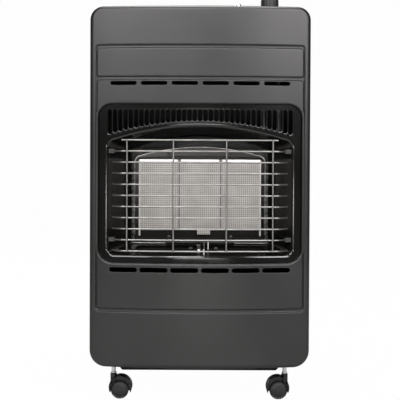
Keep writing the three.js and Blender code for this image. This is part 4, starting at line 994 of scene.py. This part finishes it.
@dataclass
class Burner:
    """The arched plate with the ceramic plaques, their steel strips and their screws."""

    plate: Outline = Outline(125.5 * MM, 300 * MM, 482 * MM, 13 * MM, 13 * MM, 18 * MM)
    plate_back: float = -128.3 * MM
    border_depth: float = 6 * MM
    edge_roll: float = 1.5 * MM
    rim_radius: float = 1.3 * MM
    corner_steps: int = 8
    arch_steps: int = 16
    opening: Outline = Outline(123 * MM, 302.5 * MM, 464 * MM, 10 * MM, 8 * MM, 4 * MM)
    opening_ease: float = 0.4 * MM
    sheet: float = 1.2 * MM
    face: float = -142 * MM
    plaque_width: float = 76 * MM
    plaque_pitch: float = 78.6 * MM
    plaque_low: float = 322.5 * MM
    plaque_high: float = 457.5 * MM
    plaque_back: float = -128.8 * MM
    tab: tuple[float, float] = (-5 * MM, 20 * MM)
    tab_depths: tuple[float, float] = (0.2 * MM, 3 * MM)
    tab_heights: tuple[float, float] = (-8 * MM, 2 * MM)
    lip: float = 4 * MM
    lip_gap: float = 2 * MM
    lip_front: float = -144 * MM
    lip_sink: float = 1 * MM
    leg_width: float = 3.5 * MM
    leg_drop: float = 9.2 * MM
    seal_gap: float = 0.05 * MM
    seal_short: float = 1 * MM
    seal_depths: tuple[float, float] = (0.6 * MM, 3 * MM)
    screw_x: float = 59 * MM
    screw_rows: tuple[float, float] = (470 * MM, 309 * MM)

    def bezel(self) -> None:
        """The arched plate with its raised border, in place of its CAD solid."""
        shape = Shape()
        front, floor = self.plate_back - self.border_depth, self.plate_back - self.sheet
        _, inner = shape.loft([
            (self.plate, self.plate_back),
            *[(ring, front + depth) for ring, depth in self.plate.outer_roll(self.edge_roll)],
            (self.opening.inset(-self.opening_ease), front),
            (self.opening, front + self.opening_ease),
            (self.opening, floor),
        ])
        half = self.plaque_pitch + self.plaque_width / 2 + GAP
        hole = Outline(half, self.plaque_low - GAP, self.plaque_high + GAP, 1 * MM, 1 * MM)
        edge, _ = shape.loft([(hole, floor), (hole, self.plate_back)], 2)
        shape.fill(inner, edge)
        shape.turn_out((0, -1, 0))
        made = shape.piece("burner_bezel", "cabinet", "black_steel", BEZEL)
        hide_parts("burner_plate")

    def rim(self) -> None:
        """The rolled edge that runs up both sides of the bezel and over its arch."""
        radius, corner, rise = self.rim_radius, self.plate.high_radius, self.plate.rise
        x, top = self.plate.half - radius, self.plate.high - radius
        tilt = math.atan(2 * rise / x)
        shoulder = top - rise + 2 * corner * math.sin(tilt) ** 2 - corner
        left = [(-x, self.plate.low + corner), (-x, shoulder)]
        for i in range(1, self.corner_steps + 1):
            angle = math.pi - (math.pi / 2 - tilt) * i / self.corner_steps
            left.append((corner - x + corner * math.cos(angle), shoulder + corner * math.sin(angle)))
        end_x, end_z = left[-1]
        for i in range(1, self.arch_steps):
            share = 1 - i / self.arch_steps
            left.append((end_x * share, top - (top - end_z) * share**2))
        y = self.plate_back - self.border_depth + radius
        path = [Vector((u, y, v)) for u, v in left]
        path += [Vector((0, y, top)), *[mirrored(point) for point in reversed(path)]]
        shape = Shape()
        shape.sweep(path, radius, 16)
        shape.piece("bezel_rim", "cabinet", "black_steel", SATIN)

    def slab(self, name: str, middle: float) -> None:
        """A plaque's gauze-faced slab, in place of its CAD solid; the middle one has a tab below.

        Args:
            name: The plaque's name: left, centre or right.
            middle: Its middle in X.
        """
        shape = Shape()
        half = self.plaque_width / 2
        low = (middle - half, self.face, self.plaque_low)
        shape.box(low, (middle + half, self.plaque_back, self.plaque_high), bevel=0.8 * MM)
        if not middle:
            low, high = [
                (x, self.face + depth, self.plaque_low + height)
                for x, depth, height in zip(self.tab, self.tab_depths, self.tab_heights)
            ]
            shape.box(low, high, bevel=0.6 * MM)
        made = shape.piece(f"plaque_{name}_slab", "cabinet", "ceramic", GAUZE)
        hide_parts(f"plaque_{name}")

    def strip(self, name: str, middle: float) -> None:
        """The near-white lip along a plaque's upper edge: bright steel with a painted highlight.

        Args:
            name: The plaque's name.
            middle: Its middle in X.
        """
        shape = Shape()
        half = self.plaque_width / 2 - self.lip_gap
        low = (middle - half, self.lip_front, self.plaque_high - self.lip)
        high = (middle + half, self.face + self.lip_sink, self.plaque_high - 0.1 * MM)
        shape.box(low, high, bevel=0.5 * MM)
        shape.piece(f"plaque_{name}_strip", "cabinet", "bright_wire", STRIP)

    def leg(self, name: str, side: int) -> None:
        """The bright leg that runs down an outer plaque's outer edge and ends in a dome.

        Args:
            name: The plaque's name.
            side: -1 for the left plaque and 1 for the right one.
        """
        shape = Shape()
        radius = self.leg_width / 2
        x = side * (self.plaque_pitch + self.plaque_width / 2 - radius)
        y = self.face + 0.1 * MM
        foot = Vector((x, y, self.plaque_low - self.leg_drop))
        shape.sweep([Vector((x, y, self.plaque_high - 1 * MM)), foot], radius, 20)
        dome = [(radius * math.cos(a), radius * math.sin(a)) for a in quarter(6)[:-1]]
        shape.turn([(0, 0), *dome, (0, radius)], foot, Axis.DOWN, 20)
        shape.piece(f"plaque_{name}_leg", "cabinet", "bright_wire", LEG)

    def joints(self) -> None:
        """The seals in the two joints between the plaques."""
        shape = Shape()
        half = (self.plaque_pitch - self.plaque_width) / 2 - self.seal_gap
        front, back = self.seal_depths
        for x in (-self.plaque_pitch / 2, self.plaque_pitch / 2):
            low = (x - half, self.face + front, self.plaque_low + self.seal_short)
            high = (x + half, self.face + back, self.plaque_high - self.seal_short)
            shape.box(low, high, bevel=0.3 * MM)
        shape.piece("plaque_joints", "cabinet", "ceramic", SEAL)

    def fasten(self) -> None:
        """The bezel's pan-head screws."""
        shape = Shape()
        seats = (self.plate_back - self.border_depth, self.plate_back - self.sheet)
        for y, z in zip(seats, self.screw_rows):
            for x in (-self.screw_x, self.screw_x):
                shape.turn(PAN_HEAD, (x, y, z), Axis.FRONT, 20)
        shape.piece("burner_screws", "cabinet", "black_steel", BLACK_STEEL)

    def build(self) -> None:
        """Builds the bezel, its rim and screws, the seals and the three plaques."""
        self.bezel()
        self.rim()
        self.joints()
        self.fasten()
        for side, name in enumerate(("left", "centre", "right"), -1):
            self.slab(name, side * self.plaque_pitch)
            self.strip(name, side * self.plaque_pitch)
            if side:
                self.leg(name, side)


# ---- Castors and controls ----
TREAD = in_mm(
    (0, 9.8), (2.8, 9.8), (2.8, 3.5), (14.6, 3.5), (16, 3.9), (16.7, 4.6), (17, 5.6), (17, 10.4),
    (16.7, 11.4), (16.1, 12.1), (15.4, 12.5), (14.9, 12.4), (14.5, 12), (14, 11.8), (13.4, 12),
    (8, 12.3), (0, 12.5),
)


@dataclass
class Castor:
    """A twin-wheel castor, drawn with its stem on the Z axis and its wheels trailing towards +X."""

    name: str
    place: tuple[float, float, float]
    heading: float
    trail: float = 12.5 * MM
    wheel_radius: float = 17 * MM
    hood_centre: tuple[float, float, float] = (13.5 * MM, 0.0, 22 * MM)
    hood_radius: float = 22 * MM
    hood_sheet: float = 1.7 * MM
    hood_reach: float = 13.3 * MM
    hood_edge: float = 0.6 * MM
    web_reach: float = 3.2 * MM
    web_core: float = 4 * MM
    web_overlap: float = 0.5 * MM
    drop: float = math.radians(25)
    housing: tuple[float, float] = (28 * MM, 48 * MM)
    housing_radius: float = 6.2 * MM
    housing_edge: float = 1 * MM

    def band(self, shape: Shape, section: Sequence[tuple[float, float]]) -> None:
        """Sweeps a closed section over the wheels, and closes its ends.

        Args:
            shape: The shape that takes it.
            section: Radius and width of each corner.
        """
        centre = Vector(self.hood_centre)
        turn = Matrix.Rotation(self.drop, 4, "Y")
        verts, edges = shape.line(turn @ Vector((radius, width, 0)) + centre for radius, width in section)
        edges.append(shape.bm.edges.new((verts[-1], verts[0])))
        last = bmesh.ops.spin(
            shape.bm, geom=verts + edges, cent=centre, axis=(0, -1, 0), angle=math.pi + 2 * self.drop,
            steps=36, use_merge=False,
        )["geom_last"]
        for end in (verts, only_verts(last)):
            bmesh.ops.contextual_create(shape.bm, geom=end)
        bmesh.ops.recalc_face_normals(shape.bm, faces=shape.bm.faces)

    def put(self, shape: Shape, node: str, body: str) -> None:
        """Turns a shape into the castor's heading and puts it in place of its CAD solid.

        Args:
            shape: The shape.
            node: The CAD solid's name.
            body: The body that it moves with.
        """
        turn = Matrix.Translation(self.place) @ Matrix.Rotation(math.radians(self.heading), 4, "Z")
        bmesh.ops.transform(shape.bm, matrix=turn, verts=shape.bm.verts)
        made = shape.piece(f"{node}_moulding", body, "black_plastic", BLACK_PLASTIC)
        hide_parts(node)

    def hood(self) -> None:
        """The hood: an arched guard with a web between the wheels and the stem's housing."""
        shape = Shape()
        edge, reach = self.hood_edge, self.hood_reach
        inner, outer = self.hood_radius - self.hood_sheet, self.hood_radius
        right = [(inner, reach), (outer - edge, reach), (outer, reach - edge)]
        self.band(shape, right + [(radius, -width) for radius, width in reversed(right)])
        core, rim, half = self.web_core, inner + self.web_overlap, self.web_reach
        self.band(shape, [(core, half), (rim, half), (rim, -half), (core, -half)])
        low, high = self.housing
        radius, edge = self.housing_radius, self.housing_edge
        profile = [(0, low), (radius, low), (radius, high - edge), (radius - edge, high), (0, high)]
        shape.turn(profile, (0, 0, 0), Axis.Z, 32)
        self.put(shape, f"{self.name}_hood", self.name)

    def wheel(self, side: str, axis: Axis) -> None:
        """One wheel: a round-shouldered tread, a dished face and a hub ring.

        Args:
            side: The wheel's letter, a or b.
            axis: The way that its outer face looks.
        """
        shape = Shape()
        shape.turn(TREAD, (self.trail, 0, self.wheel_radius), axis, 48)
        name = f"{self.name}_wheel_{side}"
        self.put(shape, name, name)

    def build(self) -> None:
        """Builds the hood and both wheels."""
        self.hood()
        self.wheel("a", Axis.Y)
        self.wheel("b", Axis.FRONT)


KNOB_SKIRT = in_mm(
    (15.6, 0), (16.6, 0.4), (17, 1.2), (17, 3), (17, 5), (17, 10), (17, 15.5), (16.7, 17), (15.8, 18.4),
    (14.4, 19.6), (13, 20.5), (12, 21), (11, 21), (10.2, 20.6), (0, 20.6),
)
BUTTON = in_mm(
    (0, 0), (5, 0), (5.5, 0.5), *[(5.5 * math.cos(a), 26.5 + 3 * math.sin(a)) for a in quarter(8)[:-1]],
    (0, 29.5),
)
NUT = in_mm(
    (8.3, 0), (10.5, 0), (11, 0.5), (11, 2.8), (10.7, 3.4), (9.9, 3.9), (8.8, 3.9), (8.3, 3.5), (8.3, 0),
)


@dataclass
class Controls:
    """The fluted control knob with its pointer, and the igniter's button and nut."""

    knob: tuple[float, float, float] = (132 * MM, -128 * MM, 746.2 * MM)
    knob_bore: float = 4.4 * MM
    bore_depth: float = 12.3 * MM
    flutes: int = 12
    flute_depth: float = 0.8 * MM
    flute_foot: float = 3 * MM
    flute_reach: float = 14 * MM
    pointer_low: tuple[float, float, float] = (-0.9 * MM, -10 * MM, 20.3 * MM)
    pointer_high: tuple[float, float, float] = (0.9 * MM, -4 * MM, 20.9 * MM)
    igniter: tuple[float, float] = (71 * MM, -150 * MM)
    button_foot: float = 723.5 * MM
    nut_foot: float = 740.8 * MM

    def control_knob(self) -> None:
        """The knob: a fluted skirt, a round shoulder and a dished top with a pointer."""
        shape = Shape()
        bore = [(0, self.bore_depth), (self.knob_bore, self.bore_depth), (self.knob_bore, 0)]
        made = shape.turn([*bore, *KNOB_SKIRT], self.knob, Axis.Z, 144)
        middle = Vector(self.knob)
        for vert in made:
            arm = vert.co - middle
            level = Vector((arm.x, arm.y, 0))
            if level.length < self.flute_reach or arm.z < self.flute_foot:
                continue
            wave = math.cos(self.flutes * math.atan2(arm.y, arm.x))
            vert.co -= level.normalized() * self.flute_depth * max(0.0, (wave - 0.5) * 2)
        knob = shape.piece("fluted_knob", "knob", "grey_plastic", GREY_PLASTIC)
        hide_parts("control_knob")
        mark = Shape()
        low, high = Vector(self.pointer_low), Vector(self.pointer_high)
        mark.box(middle + low, middle + high, bevel=0.2 * MM)
        mark.piece("knob_pointer", "knob", "ceramic", MARKING)

    def igniter_parts(self) -> None:
        """The igniter's domed push button and the round nut that holds it."""
        shape = Shape()
        shape.turn(BUTTON, (*self.igniter, self.button_foot), Axis.Z, 40)
        button = shape.piece("domed_button", "igniter_button", "chrome", CHROME)
        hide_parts("igniter_button")
        nut = Shape()
        nut.turn(NUT, (*self.igniter, self.nut_foot), Axis.Z, 48)
        made = nut.piece("round_nut", "cabinet", "chrome", CHROME)
        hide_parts("igniter_nut")

    def build(self) -> None:
        """Builds the knob and the igniter's visible parts."""
        self.control_knob()
        self.igniter_parts()


ROUND_HEAD = (
    (0, 0.35), (0.9, 0.35), (1, 0.95), (2.2, 0.9), (3, 0.65), (3.4, 0.3), (3.5, 0), (3.5, -0.2), (0, -0.2),
)


@dataclass
class Fasteners:
    """The screws that hold the side panels, and those that lock the rear cover."""

    side_face: float = 203.5 * MM
    side_y: float = 178 * MM
    side_rows: tuple[float, ...] = (160 * MM, 410 * MM, 660 * MM)
    side_height: float = 1.3 * MM
    cover_face: float = 205 * MM
    cover_x: float = 178 * MM
    cover_rows: tuple[float, ...] = (102 * MM, 706 * MM)
    cover_height: float = 2 * MM

    def screw(self, shape: Shape, place: Sequence[float], axis: Axis, height: float) -> None:
        """Adds a low round head with a recess in its middle.

        Args:
            shape: The shape that takes it.
            place: The middle of its seat.
            axis: The way that it looks.
            height: How high it stands, where ROUND_HEAD gives shares of it.
        """
        shape.turn([(radius * MM, share * height) for radius, share in ROUND_HEAD], place, axis, 24)

    def build(self) -> None:
        """Builds the screws on each body."""
        sides = Shape()
        for z in self.side_rows:
            for x, axis in ((self.side_face, Axis.X), (-self.side_face, Axis.BACKWARD_X)):
                self.screw(sides, (x, self.side_y, z), axis, self.side_height)
        sides.piece("side_panel_screws", "cabinet", "black_steel", BLACK_STEEL)
        cover = Shape()
        for z in self.cover_rows:
            for x in (-self.cover_x, self.cover_x):
                self.screw(cover, (x, self.cover_face, z), Axis.Y, self.cover_height)
        cover.piece("rear_cover_screws", "rear_cover", "black_steel", BLACK_STEEL)


# ---- Dress of the CAD nodes, stage and main ----
CASTORS = (
    ("front_left", (-164 * MM, -133 * MM, 0.0), 0),
    ("front_right", (164 * MM, -133 * MM, 0.0), 180),
    ("rear_left", (-164 * MM, 155 * MM, 0.0), 90),
    ("rear_right", (164 * MM, 155 * MM, 0.0), 90),
)
DRESS = {
    CASING_PAINT: ("side_panel_*", "base_tray", "rear_cover"),
    SHIELD_SHADE_BLACK: ("heat_shield",),
    GALVANISED: ("pilot_bracket",),
    BLACK_STEEL: ("guard_clip_*", "gas_manifold", "spindle_collar"),
    ALUMINIUM: ("burner_housing_*", "burner_pipe", "pilot_pipe"),
    BRASS: ("injector_*", "gas_valve", "knob_spindle", "hose_nozzle"),
    CHROME: ("thermocouple", "pilot_burner", "castor_*_stem", "castor_*_axle"),
    CERAMIC: ("spark_electrode",),
    BLACK_PLASTIC: ("igniter_body",),
}


def dress(nodes: dict[str, bpy.types.Object], finish: Finish, *patterns: str) -> None:
    """Gives a finish to the CAD nodes whose names match a pattern."""
    for name, node in nodes.items():
        if any(fnmatch(name, pattern) for pattern in patterns):
            node.data.materials.clear()
            node.data.materials.append(finish.make())


@dataclass
class Studio:
    """Camera, lamps, floor and backdrop."""

    eye: tuple[float, float, float] = (0.0, -2.149, 0.486)
    lens: float = 94.8
    tilt: float = math.radians(0.9)
    roll: float = math.radians(0.25)
    shift: float = -0.097
    fill: float = 0.07
    floor_front: float = -1.5
    floor_width: float = 12.0
    sweep_start: float = 3.0
    sweep_radius: float = 1.5
    backdrop_top: float = 6.0
    floor_tone: float = 0.38
    floor_white: float = 0.985

    def camera(self) -> None:
        """Sets the camera at the photograph's viewpoint."""
        data = bpy.data.cameras.new("view")
        data.lens = self.lens
        data.sensor_width = 36
        data.shift_y = self.shift
        camera = bpy.data.objects.new("view", data)
        pitch = Euler((math.radians(90) - self.tilt, 0, 0)).to_matrix()
        turn = pitch @ Euler((0, 0, self.roll)).to_matrix()
        camera.matrix_world = Matrix.Translation(self.eye) @ turn.to_4x4()
        bpy.context.scene.collection.objects.link(camera)
        bpy.context.scene.camera = camera

    def lamp(
        self, name: str, place: Sequence[float], target: Sequence[float], size: Sequence[float],
        watts: float, tint: Sequence[float],
    ) -> None:
        """Adds a soft box that looks at a point.

        Args:
            name: The lamp's name.
            place: Where it stands.
            target: The point that it looks at.
            size: Its width and height.
            watts: Its power.
            tint: Its colour.
        """
        data = bpy.data.lights.new(name, "AREA")
        data.shape = "RECTANGLE"
        data.size, data.size_y = size
        data.energy = watts
        data.color = tint
        lamp = bpy.data.objects.new(name, data)
        look = (Vector(target) - Vector(place)).to_track_quat("-Z", "Y").to_matrix().to_4x4()
        lamp.matrix_world = Matrix.Translation(place) @ look
        bpy.context.scene.collection.objects.link(lamp)

    def lamps(self) -> None:
        """The soft boxes."""
        cool, warm = (1.0, 0.965, 1.0), (1.0, 1.0, 0.97)
        self.lamp("left", (-1.15, -2.3, 1.45), (0, -0.2, 0.6), (1.1, 1.1), 34, cool)
        self.lamp("right", (1.2, -2.2, 1.45), (0, -0.2, 0.6), (1.1, 1.1), 54, cool)
        self.lamp("key", (-0.2, -2.4, 1.6), (0, -0.2, 0.6), (0.5, 0.4), 26, cool)
        self.lamp("low", (0, -2.9, 0.22), (0, -0.2, 0.25), (0.7, 0.2), 6, warm)
        self.lamp("overhead", (0, -0.2, 2.6), (0, -0.1, 0.7), (1.2, 1.0), 70, warm)
        self.lamp("behind", (-0.8, 2.3, 1.8), (0, 0, 0.4), (1.6, 1.4), 75, warm)

    def room(self) -> None:
        """The world: a faint fill that the camera sees as white."""
        world = bpy.data.worlds.new("room")
        bpy.context.scene.world = world
        world.use_nodes = True
        tree = world.node_tree
        fill = tree.nodes["Background"]
        fill.inputs["Color"].default_value = (1, 1, 1, 1)
        fill.inputs["Strength"].default_value = self.fill
        seen = tree.nodes.new("ShaderNodeBackground")
        seen.inputs["Color"].default_value = (1, 1, 1, 1)
        mix = tree.nodes.new("ShaderNodeMixShader")
        path = tree.nodes.new("ShaderNodeLightPath")
        tree.links.new(path.outputs["Is Camera Ray"], mix.inputs[0])
        tree.links.new(fill.outputs[0], mix.inputs[1])
        tree.links.new(seen.outputs[0], mix.inputs[2])
        tree.links.new(mix.outputs[0], tree.nodes["World Output"].inputs["Surface"])

    def floor(self) -> None:
        """A pale floor that runs up into a backdrop in one sweep."""
        shape = Shape()
        start, radius = self.sweep_start, self.sweep_radius
        sweep = [(start + radius * math.sin(a), radius * (1 - math.cos(a))) for a in quarter(16)]
        curve = [(self.floor_front, 0.0), *sweep, (start + radius, self.backdrop_top)]
        half = self.floor_width / 2
        shape.strip([(-half, y, z) for y, z in curve], (self.floor_width, 0, 0))
        mesh = bpy.data.meshes.new("floor")
        shape.bm.to_mesh(mesh)
        shape.bm.free()
        mesh.shade_smooth()
        nodes = Nodes("pale_floor")
        nodes.shade(Base_Color=(*[self.floor_tone] * 3, 1), Roughness=0.8)
        seen = nodes.add("LightPath").outputs["Is Camera Ray"]
        glow = nodes.add("Emission", Color=(1, 1, 1, 1), Strength=1.0)
        mix = nodes.add("MixShader", Fac=nodes.compute("MULTIPLY", seen, self.floor_white))
        nodes.set(mix, 1, nodes.shader.outputs[0])
        nodes.set(mix, 2, glow.outputs[0])
        nodes.tree.links.new(mix.outputs[0], nodes.tree.nodes["Material Output"].inputs["Surface"])
        mesh.materials.append(nodes.material)
        floor = bpy.data.objects.new("floor", mesh)
        bpy.context.scene.collection.objects.link(floor)

    def build(self) -> None:
        """Makes all of it."""
        self.camera()
        self.lamps()
        self.room()
        self.floor()


def main() -> None:
    """Loads the frame, builds each sub-assembly in order and dresses the rest."""
    logging.basicConfig(level=logging.INFO, format="%(name)s: %(message)s")
    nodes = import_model()["nodes"]
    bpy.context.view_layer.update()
    bpy.context.scene.view_settings.view_transform = "Standard"
    Studio().build()
    FrontPanel().build()
    Casing().build()
    Surround().build()
    Reflector().build()
    Seams().build()
    WireGuard().build()
    Burner().build()
    for name, place, heading in CASTORS:
        Castor(f"castor_{name}", place, heading).build()
    Controls().build()
    Fasteners().build()
    for finish, patterns in DRESS.items():
        dress(nodes, finish, *patterns)


if __name__ == "__main__":
    main()
